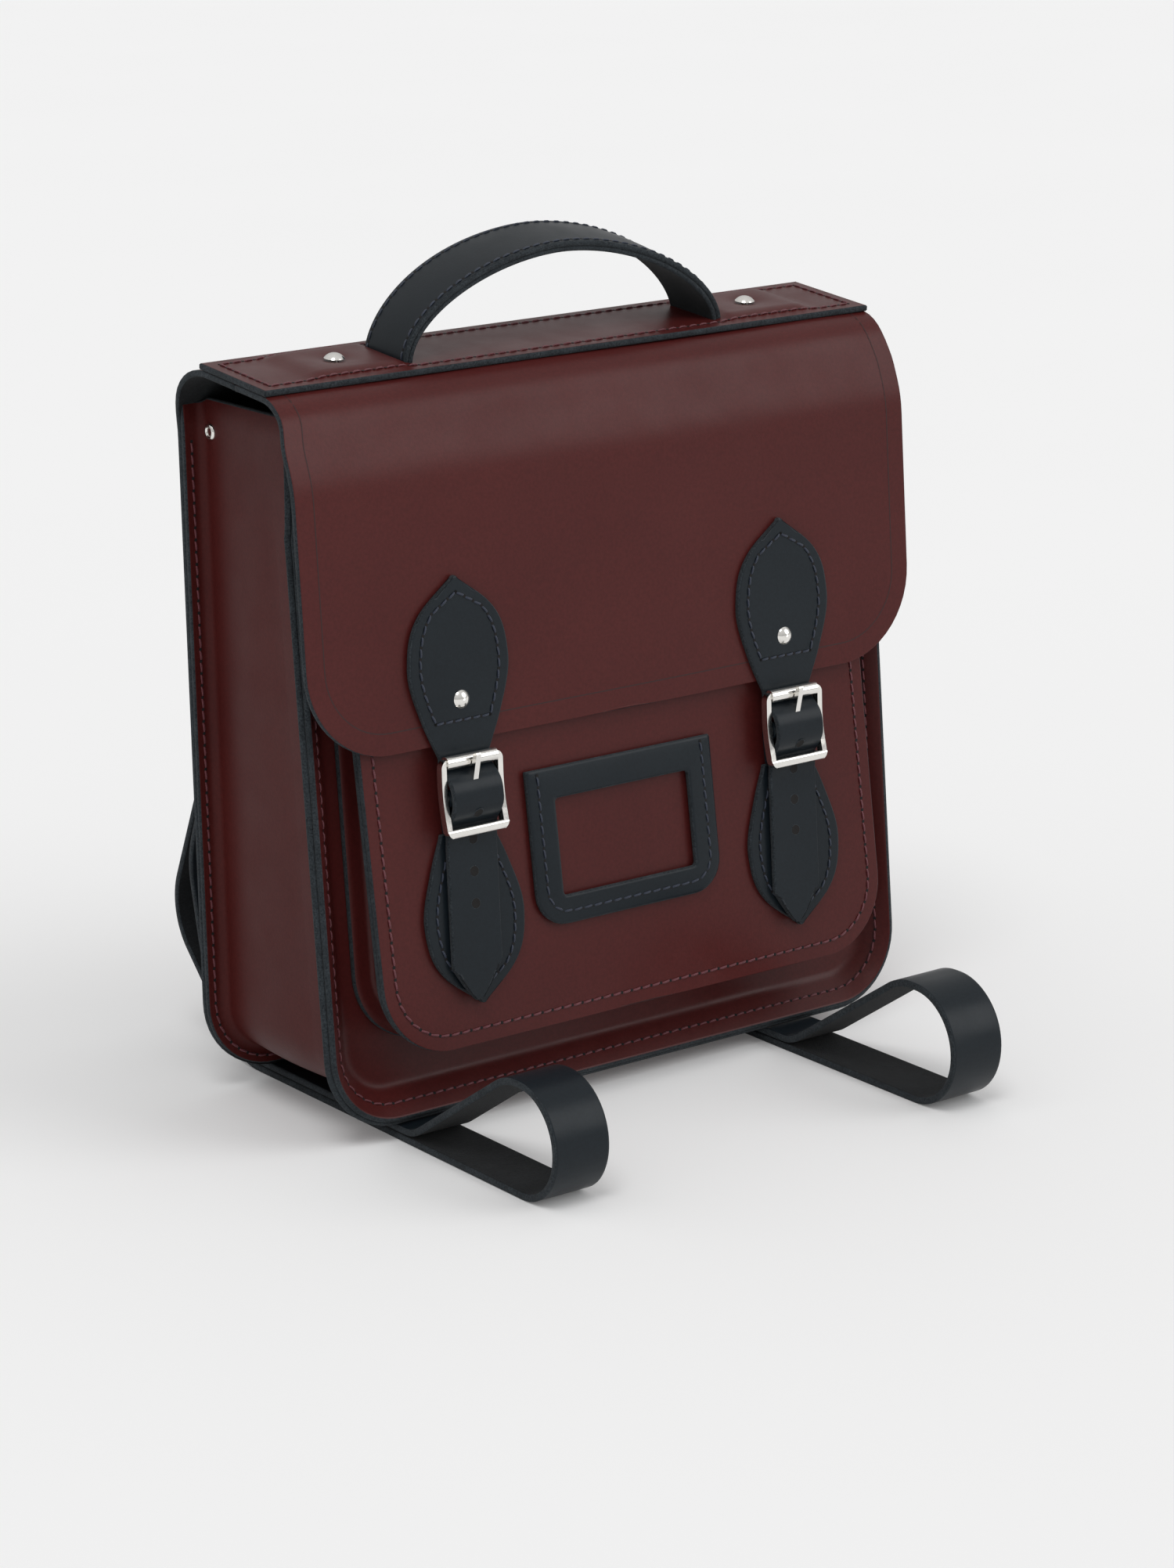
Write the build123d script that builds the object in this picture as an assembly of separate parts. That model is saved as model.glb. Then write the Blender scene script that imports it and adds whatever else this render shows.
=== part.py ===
from build123d import *
import math
import os

os.makedirs("parts", exist_ok=True)

# A small leather satchel that is also worn on the back. Millimetres, +Z up, the
# front faces -Y, and the origin is on the floor under the middle of the whole
# object, shoulder straps included. The bag stands on the two strap layers below it.

# ---- driving dimensions -------------------------------------------------------
LEATHER = 2.2
WIDE = 300.0

FLAP_HALF = 130.0
STRIP_HALF = 128.4
BACK_HALF = 124.5
RIM_HALF = 126.0
POCKET_HALF = 109.0

BASE_Z = 5.3
CORNER_R = 28.0
GUSSET_TOP = 249.0
FLANGE_TOP = 238.0
PANEL_TOP = 246.0
WALL_INSET = 9.0
LIP_DEPTH = 9.0
LAYER_GAP = 0.07
EYELET_Y = 54.5
EYELET_Z = 239.5
EYELET_BORE_R = 1.4
EYELET_R = 1.9
EYELET_FLANGE_R = 3.0

BACK_Y = 64.0
TOP_BACK_Z = 266.3
TOP_FRONT = (-7.5, 259.5)
FLAP_KNEE = (-17.9, 232.0)
FLAP_LOW = (-23.2, 138.0)
BACK_BEND_R = 24.0
FRONT_BEND_R = 16.0
KNEE_R = 40.0
FRONT_FOLD_SHARE = 0.64
FLAP_CORNER_R = 32.0
KNIFE = 0.3

RIM_Y = -22.8
RIM_LEAN = math.atan(0.072)
POCKET_Y = -33.4
POCKET_Z = 33.0
POCKET_LEAN = math.atan(0.130)
POCKET_TOP = 200.0
POCKET_INSET = 8.0
POCKET_R = 26.0

STRIP_BACK_Y = 41.0
STRIP_DEPTH = 41.3
STRIP_R = 2.0
HANDLE_X = 68.0
HANDLE_WIDTH = 25.0
HANDLE_THICK = 3.8
HANDLE_RISE = 37.5
HANDLE_Y = 20.3
TAB_LENGTH = 34.0
TAB_THICK = 1.8
TAB_RIVET = 20.0
PAD_MARGIN = 2.0

CLOSURE_X = 70.0
STRAP_HALF = 10.2
LEAF_HALF = 20.3
LEAF_RISE = 57.5
TAB_TIP_S = 14.2
TAB_TOP_S = 74.8
STRAP_TIP_S = 16.3
HOLE_R = 1.7
HOLE_PITCH = 11.0

# A roller buckle, measured up its strap (s) and out from what it lies on (h).
BAR = (87.5, 6.4)
BAR_R = 1.3
ROLLER = (99.8, 8.1)
ROLLER_BAR_R = 1.4
ROLLER_R = 2.3
RUNNING = 0.05
FRAME_HALF = 12.6
FRAME_LOW_S = 73.8
FRAME_TOP_S = 101.4
RAIL = 2.0
PRONG_R = 1.0
PRONG_HALF = 1.2
CHAPE_R = 3.1
CHAPE_LOW_H = 1.6
CHAPE_TOP_H = 3.3

SNAP_S = 82.0
SNAP_R = 6.5

HOLDER_X = -4.2
HOLDER_HALF = 40.1
HOLDER_LOW_S = 34.5
HOLDER_TOP_S = 90.3
HOLDER_BORDER = 11.2
CARD_GAP = 0.8

SHOULDER_X = {"left": -87.5, "right": 74.7}
SHOULDER_WIDTH = 22.0
SHOULDER_THICK = 2.5
ADJUSTER_Y = BACK_Y - CHAPE_LOW_H
ADJUSTER_Z = -20.0
ADJUSTER_TIP_S = 56.0
ADJUSTER_CHAPE_S = 36.0
FRONT_LOOP = {"left": -114.0, "right": -125.0}
LOOP_HEIGHT = {"left": 41.5, "right": 44.0}
LOOP_SLOPE = 0.64
ARCH_Y = 84.0
ARCH_Z = 99.0
ANCHOR_PATCH = 2.0
ANCHOR_RIVETS = (206.0, 226.0)
CHAPE_RIVETS = (21.0, 30.0)


# ---- helpers ------------------------------------------------------------------
def folded(points, radii, thickness, side=Side.LEFT):
    """Section of a folded strip: a rounded polyline thickened to one side."""
    path = FilletPolyline(*points, radius=radii)
    return make_face(offset(path, amount=thickness, side=side))


def across(face, x_low, x_high):
    """Extrudes a side-view face, drawn in Y and Z, from x_low to x_high."""
    return extrude(Plane.YZ.offset(x_low) * face, amount=x_high - x_low, dir=(1, 0, 0))


def through(face):
    """Extrudes a front-view face, drawn in X and Z, right through the bag."""
    placed = Plane(origin=(0, -WIDE / 2, 0), x_dir=(1, 0, 0), z_dir=(0, -1, 0)) * face
    return extrude(placed, amount=WIDE, dir=(0, 1, 0))


def polygon(points):
    return make_face(Polyline(*points, close=True))


def tub(half, bottom, top, radius):
    """Front outline with a flat top and rounded bottom corners."""
    points = [(-half, top), (-half, bottom), (half, bottom), (half, top)]
    sides = FilletPolyline(*points, radius=radius)
    return make_face(sides + Line(points[-1], points[0]))


def leaning(x, y, z, lean):
    """Plane with x along X, y up the slope and z out of the front."""
    normal = (0, -math.cos(lean), math.sin(lean))
    return Plane(origin=(x, y, z), x_dir=(1, 0, 0), z_dir=normal)


def sheet(plane, outline, low, high):
    """A flat piece on a plane, from height low to height high above it."""
    return extrude(plane.offset(low) * outline, amount=high - low, dir=plane.z_dir)


def edgewise(plane, section, half):
    """Extrudes a section drawn in (s, h) across a plane, half to each side."""
    start = plane.origin - plane.x_dir * half
    side = Plane(origin=start, x_dir=plane.y_dir, z_dir=plane.x_dir)
    return extrude(side * section, amount=2 * half, dir=plane.x_dir)


def disc(plane, x, s, radius, low, high):
    return sheet(plane, Pos(x, s) * Circle(radius), low, high)


def group(parts):
    return Compound(children=[solid for part in parts for solid in part.solids()])


def write(name, shape):
    export_step(shape, f"parts/{name}.step")


def rim_y(z, depth):
    """Y of a plane behind the main rim, depth behind it, at height z."""
    return RIM_Y + math.tan(RIM_LEAN) * (z - BASE_Z) + depth / math.cos(RIM_LEAN)


def pocket_y(z, depth):
    """Y of a plane behind the pocket's front, depth behind it, at height z."""
    return POCKET_Y + math.tan(POCKET_LEAN) * (z - POCKET_Z) + depth / math.cos(POCKET_LEAN)


def between(outline, front, back):
    """An outline taken through the bag and trimmed by two planes, y = f(z)."""
    low, high = -20.0, 320.0
    front_edge = [(front(low), low), (front(high), high)]
    back_edge = [(back(high), high), (back(low), low)]
    side = polygon(front_edge + back_edge)
    return through(outline) & across(side, -WIDE / 2, WIDE / 2)


def rivet(plane, x, s, low, high, head=3.2, shank=1.5):
    """Domed rivet through a stack of leather, with a flat cap behind it."""
    rise = head * 0.5
    ball = (head**2 + rise**2) / (2 * rise)
    dome = Pos(0, 0, high + rise - ball) * Sphere(ball)
    dome &= Pos(0, 0, high + rise / 2) * Box(3 * head, 3 * head, rise)
    body = Pos(0, 0, (low + high) / 2) * Cylinder(shank, high - low)
    cap = Pos(0, 0, low - 0.4) * Cylinder(head * 0.9, 0.8)
    return plane.location * Pos(x, s, 0) * (dome + body + cap)


def rivet_hole(plane, x, s, low=-40.0, high=40.0, shank=1.5):
    return disc(plane, x, s, shank, low, high)


def leaf(tip, neck, neck_half):
    """Leaf outline from a pointed tip to a neck, along local y."""
    reach = tip - neck
    side = [
        (0, tip),
        (0.66 * LEAF_HALF, tip - 0.17 * reach),
        (LEAF_HALF, tip - 0.47 * reach),
        (0.78 * LEAF_HALF, tip - 0.79 * reach),
        (neck_half, neck),
    ]
    down = -math.copysign(1, reach)
    right = Spline(*side, tangents=[(1, 0.62 * down), (-0.2, down)])
    left = mirror(right, about=Plane.YZ)
    base = Line((-neck_half, neck), (neck_half, neck))
    return make_face(Wire([*right.edges(), *left.edges(), base]))


# ---- planes -------------------------------------------------------------------
rim_plane = leaning(0, RIM_Y, BASE_Z, RIM_LEAN)
pocket_plane = leaning(0, POCKET_Y, POCKET_Z, POCKET_LEAN)
flap_lean = math.atan((FLAP_KNEE[0] - FLAP_LOW[0]) / (FLAP_KNEE[1] - FLAP_LOW[1]))
top_slope = math.atan((TOP_BACK_Z - TOP_FRONT[1]) / (BACK_Y - TOP_FRONT[0]))


def on_pocket(s, h):
    """Y and Z of a point s up the pocket's front and h out from it."""
    sin, cos = math.sin(POCKET_LEAN), math.cos(POCKET_LEAN)
    return (POCKET_Y + s * sin - h * cos, POCKET_Z + s * cos + h * sin)


# ---- back panel, top and flap: one piece of leather, parted at its two folds ----
leather_path = [(BACK_Y, BASE_Z), (BACK_Y, TOP_BACK_Z), TOP_FRONT, FLAP_KNEE, FLAP_LOW]
leather_radii = [BACK_BEND_R, FRONT_BEND_R, KNEE_R]
leather_band = folded(leather_path, leather_radii, LEATHER)


def bend(before, corner, after, radius, share):
    """Centre, ray and surface point of a rounded corner, at a share of its turn."""
    start = (Vector(*corner) - Vector(*before)).normalized()
    end = (Vector(*after) - Vector(*corner)).normalized()
    turn = math.acos(start.dot(end))
    inward = Vector(-start.Y, start.X)
    tangent = Vector(*corner) - start * radius * math.tan(turn / 2)
    centre = tangent + inward * radius
    ray = (inward * -1).rotate(Axis.Z, math.degrees(turn * share))
    return centre, ray, centre + ray * radius


def knife(centre, ray):
    """A thin cut through the leather along a bend's ray."""
    length = 12.0
    middle = centre + ray * (BACK_BEND_R if centre.X > 20 else FRONT_BEND_R)
    turned = Rot(0, 0, math.degrees(math.atan2(ray.Y, ray.X))) * Rectangle(length, KNIFE)
    return Pos(middle.X, middle.Y) * turned


back_bend = bend(leather_path[0], leather_path[1], TOP_FRONT, BACK_BEND_R, 0.5)
front_bend = bend(leather_path[1], TOP_FRONT, FLAP_KNEE, FRONT_BEND_R, FRONT_FOLD_SHARE)
print("top fold axis  y z", round(back_bend[2].X, 2), round(back_bend[2].Y, 2))
print("flap fold axis y z", round(front_bend[2].X, 2), round(front_bend[2].Y, 2))

cut_band = leather_band - knife(*back_bend[:2]) - knife(*front_bend[:2])
flap_band, top_band, back_band = cut_band.faces().sort_by(Axis.X)

back_outline = tub(BACK_HALF, BASE_Z, FLANGE_TOP, CORNER_R) + polygon(
    [(-BACK_HALF, FLANGE_TOP), (BACK_HALF, FLANGE_TOP), (STRIP_HALF, 270), (-STRIP_HALF, 270)]
)
flap_outline = tub(FLAP_HALF, FLAP_LOW[1], 290, FLAP_CORNER_R)
back_panel = across(back_band, -WIDE / 2, WIDE / 2) & through(back_outline)
top_panel = across(top_band, -STRIP_HALF - 1, STRIP_HALF + 1)
flap_panel = across(flap_band, -WIDE / 2, WIDE / 2) & through(flap_outline)

# ---- main gusset: side, bottom and side, with a flange behind and a lip in front --
slant = LEATHER * math.sqrt(2)
lift = slant * math.sin(RIM_LEAN)
rim_path_points = [(-RIM_HALF, 245), (-RIM_HALF, lift), (RIM_HALF, lift), (RIM_HALF, 245)]
rim_path = rim_plane * FilletPolyline(*rim_path_points, radius=CORNER_R)
lip_plane = Plane(origin=rim_path @ 0, x_dir=(1, 0, 0), z_dir=rim_path % 0)


def lip(points):
    """A section drawn in inset and height, carried round the main rim."""
    return sweep(lip_plane * polygon(points), path=rim_path)


gusset_lip = lip(
    [
        (WALL_INSET, -16.0),
        (WALL_INSET, -WALL_INSET - slant),
        (0, -slant),
        (slant / 2, -slant / 2),
        (WALL_INSET + LEATHER, -WALL_INSET - LEATHER),
        (WALL_INSET + LEATHER, -16.0),
    ]
)
wall_outside = tub(RIM_HALF - WALL_INSET, BASE_Z + WALL_INSET, GUSSET_TOP, CORNER_R - WALL_INSET)
wall_inside = tub(
    RIM_HALF - WALL_INSET - LEATHER,
    BASE_Z + WALL_INSET + LEATHER,
    GUSSET_TOP + 1,
    CORNER_R - WALL_INSET - LEATHER,
)
back_face = BACK_Y - LEATHER
gusset_wall = between(wall_outside - wall_inside, lambda z: rim_y(z, 14.0), lambda z: back_face)
gusset_flange = between(
    tub(BACK_HALF, BASE_Z, FLANGE_TOP, CORNER_R) - wall_inside,
    lambda z: back_face - LEATHER,
    lambda z: back_face,
)
bend_start = [(back_face, 0), (back_face, FLANGE_TOP), (54, GUSSET_TOP)]
under_bend = polygon([(-60, GUSSET_TOP), (-60, 0)] + bend_start)
gusset = (gusset_lip + gusset_wall + gusset_flange) & across(under_bend, -WIDE / 2, WIDE / 2)


def side_disc(x, radius, low, high):
    """Disc on a gusset's side wall, from low to high outside x."""
    sign = math.copysign(1, x)
    plane = Plane(origin=(x, EYELET_Y, EYELET_Z), z_dir=(sign, 0, 0))
    return extrude(plane.offset(low) * Circle(radius), amount=high - low, dir=(sign, 0, 0))


wall_x = RIM_HALF - WALL_INSET
eyelets = []
for x in (-wall_x, wall_x):
    gusset -= side_disc(x, EYELET_R, -8, 4)
    barrel = side_disc(x, EYELET_R, -LEATHER - 0.6, 0.6)
    flanges = side_disc(x, EYELET_FLANGE_R, 0, 0.8)
    flanges += side_disc(x, EYELET_FLANGE_R, -LEATHER - 0.7, -LEATHER)
    eyelets.append(barrel + flanges - side_disc(x, EYELET_BORE_R, -8, 8))

# ---- main front panel: flat, with its edge turned forward inside the gusset's lip --
inner = LAYER_GAP + slant
panel_lip = lip(
    [
        (inner - slant / 2, -slant / 2),
        (inner, 0),
        (inner + LIP_DEPTH, -LIP_DEPTH),
        (16.0, -LIP_DEPTH),
        (16.0, -LIP_DEPTH - LEATHER),
        (LAYER_GAP + LIP_DEPTH + LEATHER, -LIP_DEPTH - LEATHER),
    ]
)
plate_outline = tub(RIM_HALF - 14, 14, PANEL_TOP - BASE_Z - 1, CORNER_R - 14)
front_panel = panel_lip + sheet(rim_plane, plate_outline, -LIP_DEPTH - LEATHER, -LIP_DEPTH)

# ---- front pocket --------------------------------------------------------------
pocket_outside = tub(POCKET_HALF, POCKET_Z, POCKET_TOP, POCKET_R)
pocket_wall_out = tub(
    POCKET_HALF - POCKET_INSET, POCKET_Z + POCKET_INSET, POCKET_TOP, POCKET_R - POCKET_INSET
)
pocket_hollow = tub(
    POCKET_HALF - POCKET_INSET - LEATHER,
    POCKET_Z + POCKET_INSET + LEATHER,
    POCKET_TOP + 1,
    POCKET_R - POCKET_INSET - LEATHER,
)
pocket_gusset = between(
    pocket_outside - pocket_hollow,
    lambda z: pocket_y(z, LEATHER),
    lambda z: pocket_y(z, 2 * LEATHER),
)
pocket_gusset += between(
    pocket_wall_out - pocket_hollow,
    lambda z: pocket_y(z, LEATHER + 1),
    lambda z: rim_y(z, LIP_DEPTH),
)
pocket_gusset += between(
    pocket_outside - pocket_hollow,
    lambda z: rim_y(z, LIP_DEPTH - LEATHER),
    lambda z: rim_y(z, LIP_DEPTH),
)
pocket_panel = between(pocket_outside, lambda z: pocket_y(z, 0), lambda z: pocket_y(z, LEATHER))

# ---- card holder ----------------------------------------------------------------
holder_height = HOLDER_TOP_S - HOLDER_LOW_S
holder_at = Pos(HOLDER_X, HOLDER_LOW_S)
holder_outline = holder_at * tub(HOLDER_HALF, 0, holder_height, 12.0)
window = holder_at * Pos(0, holder_height / 2) * RectangleRounded(
    2 * (HOLDER_HALF - HOLDER_BORDER), holder_height - 2 * HOLDER_BORDER + 1.0, 1.5
)
slot_space = holder_at * tub(HOLDER_HALF - 6, 6, holder_height + 1, 6.0)
card_holder = sheet(pocket_plane, holder_outline - window, CARD_GAP, CARD_GAP + LEATHER)
card_holder += sheet(pocket_plane, holder_outline - slot_space, 0, CARD_GAP + 0.5)


# ---- roller buckle and the wave of the strap through it ----------------------------
def wave(low_s, low_h):
    """Underside of a strap through the buckle: under the roller, over the middle bar."""
    return [(98.0, 3.0), (91.0, 9.6), (84.0, 9.6), (78.0, 3.75), (70.0, low_h), (low_s, low_h)]


WAVE_RADII = [5.0, 6.0, 6.0, 5.0, 6.0]


def buckle_frame(plane):
    """Two bowed side rails, a low bar, a middle bar and a round top bar."""
    low = (FRAME_LOW_S, 6.6)
    high = (FRAME_TOP_S, 6.6)
    rail = folded([low, (BAR[0], 5.0), high], 60.0, 3.0)
    frame = edgewise(plane, rail, FRAME_HALF) - edgewise(plane, rail, FRAME_HALF - RAIL)
    low_bar = Pos(FRAME_LOW_S + 1.7, 8.1) * RectangleRounded(3.4, 3.0, 1.2)
    frame += edgewise(plane, low_bar, FRAME_HALF)
    frame += edgewise(plane, Pos(*BAR) * Circle(BAR_R), FRAME_HALF - 1)
    frame += edgewise(plane, Pos(*ROLLER) * Circle(ROLLER_BAR_R), FRAME_HALF - 1)
    middle = (FRAME_LOW_S + FRAME_TOP_S) / 2
    length = FRAME_TOP_S - FRAME_LOW_S
    outline = Pos(0, middle) * RectangleRounded(2 * FRAME_HALF, length, 3.2)
    return frame & sheet(plane, outline, 0, 20)


def roller_tube(plane):
    wall = Circle(ROLLER_R) - Circle(ROLLER_BAR_R + RUNNING)
    return edgewise(plane, Pos(*ROLLER) * wall, FRAME_HALF - RAIL - 0.3)


def prong(plane):
    """An eye round the middle bar and a pin that ends on the roller."""
    bore = Pos(*BAR) * Circle(BAR_R + RUNNING)
    eye = Pos(*BAR) * Circle(2.6) - bore
    start = Vector(89.2, 7.9)
    end = Vector(101.6, 12.75)
    along = end - start
    turned = Rot(0, 0, math.degrees(math.atan2(along.Y, along.X)))
    middle = (start + end) * 0.5
    pin = Pos(middle.X, middle.Y) * turned * SlotOverall(along.length + 2, 2 * PRONG_R)
    return edgewise(plane, eye, PRONG_HALF) + edgewise(plane, pin - bore, PRONG_R)


def chape(plane, low_s):
    """Leather loop round the middle bar, its tail running down under the strap."""
    under = [(low_s, CHAPE_LOW_H), (86.5, CHAPE_LOW_H), (90.3, 5.0)]
    over = [(85.0, 5.0), (80.0, CHAPE_TOP_H), (low_s, CHAPE_TOP_H)]
    tail = polygon(under + over)
    section = Pos(*BAR) * Circle(CHAPE_R) + tail - Pos(*BAR) * Circle(BAR_R + 0.02)
    loop = edgewise(plane, section, STRAP_HALF - 0.2)
    prong_slot = sheet(plane, Pos(0, 90.0) * Rectangle(3.2, 11.2), -1, 20)
    return loop - prong_slot


def prong_slot_cut(plane):
    slot = Pos(0, 93.0) * Rot(0, 0, 90) * SlotOverall(9.0, 3.4)
    return sheet(plane, slot, 0, 20)


def strap_holes(plane, first_s, count):
    return [disc(plane, 0, first_s - n * HOLE_PITCH, HOLE_R, -2, 20) for n in range(count)]


# ---- closures: leaf, strap, buckle and snap on the flap; lower tab on the pocket ----
flap_plane = leaning(0, FLAP_LOW[0], FLAP_LOW[1], flap_lean)


def flap_point(s):
    return (FLAP_LOW[0] + s * math.sin(flap_lean), FLAP_LOW[1] + s * math.cos(flap_lean))


def closure_strap(plane, x):
    """Leaf stitched to the flap, running on as the strap through the buckle."""
    path = [flap_point(LEAF_RISE), flap_point(0)]
    path += [on_pocket(s, h) for s, h in wave(STRAP_TIP_S, 2.8)]
    band = folded(path, [20.0] + WAVE_RADII, LEATHER, Side.RIGHT)
    strap = across(band, x - 30, x + 30)
    tip_z = on_pocket(STRAP_TIP_S, 0)[1]
    neck_z = FLAP_LOW[1] - 4
    strip = [(-STRAP_HALF, neck_z), (-STRAP_HALF, tip_z + 13), (0, tip_z)]
    strip += [(STRAP_HALF, tip_z + 13), (STRAP_HALF, neck_z)]
    outline = leaf(FLAP_LOW[1] + LEAF_RISE, neck_z, STRAP_HALF) + polygon(strip)
    strap &= through(Pos(x, 0) * outline)
    strap -= prong_slot_cut(plane)
    for hole in strap_holes(plane, 82.5, 3):
        strap -= hole
    return strap


for side, sign in (("left", -1), ("right", 1)):
    x = sign * CLOSURE_X
    plane = leaning(x, POCKET_Y, POCKET_Z, POCKET_LEAN)
    tab_outline = leaf(TAB_TIP_S, TAB_TOP_S, STRAP_HALF + 0.4)
    write(f"lower_tab_{side}", sheet(plane, tab_outline, 0, LEATHER))
    strap = closure_strap(plane, x) - rivet_hole(flap_plane, x, 15.0)
    flap_panel -= rivet_hole(flap_plane, x, 15.0)
    write(f"closure_strap_{side}", strap)
    write(f"buckle_frame_{side}", buckle_frame(plane))
    write(f"buckle_roller_{side}", roller_tube(plane))
    write(f"buckle_prong_{side}", prong(plane))
    write(f"buckle_chape_{side}", chape(plane, TAB_TOP_S + 0.6))
    pocket_panel -= disc(pocket_plane, x, SNAP_S, 4.0, -5, 5)

snap_sockets = []
snap_studs = []
closure_rivets = []
for x in (-CLOSURE_X, CLOSURE_X):
    socket = disc(pocket_plane, x, SNAP_S, SNAP_R, 0, 0.7)
    socket += disc(pocket_plane, x, SNAP_S, 4.0, -LEATHER, 0.5)
    socket += disc(pocket_plane, x, SNAP_S, SNAP_R, -LEATHER - 0.8, -LEATHER)
    snap_sockets.append(socket)
    snap_studs.append(disc(pocket_plane, x, SNAP_S, SNAP_R - 0.9, 1.0, CHAPE_LOW_H))
    closure_rivets.append(rivet(flap_plane, x, 15.0, -LEATHER, LEATHER))

# ---- top strip, handle and handle rivets ------------------------------------------
strip_plane = Plane(
    origin=(0, STRIP_BACK_Y, TOP_BACK_Z - (BACK_Y - STRIP_BACK_Y) * math.tan(top_slope)),
    x_dir=(-1, 0, 0),
    z_dir=(0, -math.sin(top_slope), math.cos(top_slope)),
)
handle_s = STRIP_BACK_Y - HANDLE_Y
strip_outline = Pos(0, STRIP_DEPTH / 2) * RectangleRounded(2 * STRIP_HALF, STRIP_DEPTH, STRIP_R)
top_strip = sheet(strip_plane, strip_outline, 0, LEATHER)
tab_middle = HANDLE_X + TAB_LENGTH / 2
rivet_x = HANDLE_X + TAB_RIVET
handle_low = TOP_BACK_Z - (BACK_Y - HANDLE_Y) * math.tan(top_slope)
arch_rise = HANDLE_RISE + LEATHER


def arch_outline(half, rise, fullness):
    """Half-moon outline of the handle's curve, over a straight base."""
    corners = [(half, 0), (half, fullness * rise), (0.45 * half, rise), (0, rise)]
    right = Bezier(*[Vector(u, v) for u, v in corners])
    left = mirror(right, about=Plane.YZ)
    return make_face([*right.edges(), *left.edges(), Line((-half, 0), (half, 0))])


arch_face = arch_outline(HANDLE_X, arch_rise, 0.62)
inner_face = arch_outline(HANDLE_X - HANDLE_THICK, arch_rise - HANDLE_THICK, 0.60)
handle_plane = Plane(
    origin=(0, HANDLE_Y - HANDLE_WIDTH / 2, handle_low), x_dir=(1, 0, 0), z_dir=(0, -1, 0)
)
arch = extrude(handle_plane * (arch_face - inner_face), amount=HANDLE_WIDTH, dir=(0, 1, 0))
above_leather = sheet(strip_plane, Pos(0, handle_s) * Rectangle(WIDE, WIDE), 0, 80)
handle = arch & above_leather
handle_rivets = []
for sign in (-1, 1):
    at = Pos(sign * tab_middle, handle_s)
    recess = at * Rectangle(TAB_LENGTH + 0.4, HANDLE_WIDTH + 0.4)
    pad = at * RectangleRounded(TAB_LENGTH + 2 * PAD_MARGIN, HANDLE_WIDTH + 2 * PAD_MARGIN, 5)
    top_strip += sheet(strip_plane, pad, LEATHER / 2, LEATHER + TAB_THICK)
    top_strip -= sheet(strip_plane, recess, -1, TAB_THICK)
    slot = Pos(sign * (HANDLE_X - HANDLE_THICK / 2 + 0.2), handle_s)
    top_strip -= sheet(strip_plane, slot * Rectangle(HANDLE_THICK + 1.0, HANDLE_WIDTH + 1.2), -1, 10)
    tab = Pos(sign * (tab_middle - 1), handle_s) * Rectangle(TAB_LENGTH, HANDLE_WIDTH)
    handle += sheet(strip_plane, tab, 0, TAB_THICK)
    for_rivet = rivet_hole(strip_plane, sign * rivet_x, handle_s)
    handle -= for_rivet
    top_strip -= for_rivet
    top_panel -= for_rivet
    handle_rivets.append(
        rivet(strip_plane, sign * rivet_x, handle_s, -LEATHER, LEATHER + TAB_THICK, head=3.6)
    )


# ---- shoulder straps with their anchors and adjusting buckles ------------------------
def behind(x):
    """Plane on the back panel: x to the left seen from the front, s up, h backwards."""
    return Plane(origin=(x, ADJUSTER_Y, ADJUSTER_Z), x_dir=(-1, 0, 0), z_dir=(0, 1, 0))


def shoulder_strap(side):
    """Down behind the bag, under it, round a loop in front, back, and up to its buckle."""
    front = FRONT_LOOP[side]
    height = LOOP_HEIGHT[side]
    outer = BACK_Y + SHOULDER_THICK
    loop_r = height / 2 - 1.0
    second = BASE_Z
    behind_run = [(outer, 236.0), (outer, 184.0), (130.0, 47.0), (84.0, 0.0), (0.0, 0.0)]
    crest = front + 0.70 * height
    front_run = [(0.0, 0.0), (front, 0.0), (front, height), (crest, height)]
    front_run += [(crest + (height - second) / LOOP_SLOPE, second), (0.0, second)]
    rising_run = [(0.0, second), (83.0, second), (105.0, 31.5), (112.5, 70.0)]
    rising_run += [(100.5, ARCH_Z), (ARCH_Y, ARCH_Z)]
    runs = [
        folded(behind_run, [60.0, 25.0, 30.0], SHOULDER_THICK, Side.RIGHT),
        folded(front_run, [loop_r, loop_r, 22.0, 16.0], SHOULDER_THICK, Side.RIGHT),
        folded(rising_run, [24.7, 40.0, 30.0, 12.0], SHOULDER_THICK, Side.RIGHT),
    ]
    down = [(ADJUSTER_Y + h, ADJUSTER_Z + s) for s, h in wave(ADJUSTER_TIP_S, 3.5)]
    first = ADJUSTER_Y + 3.4
    top = ARCH_Z + SHOULDER_THICK
    end_points = [(ARCH_Y, top), (first, top)] + down
    end_run = folded(end_points, [16.0] + WAVE_RADII, SHOULDER_THICK, Side.LEFT)
    half = SHOULDER_WIDTH / 2
    middle = SHOULDER_X[side]
    narrow = across(end_run, middle - STRAP_HALF, middle + STRAP_HALF)
    section = runs[0] + runs[1] + runs[2]
    return narrow + across(section, middle - half, middle + half)


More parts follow.
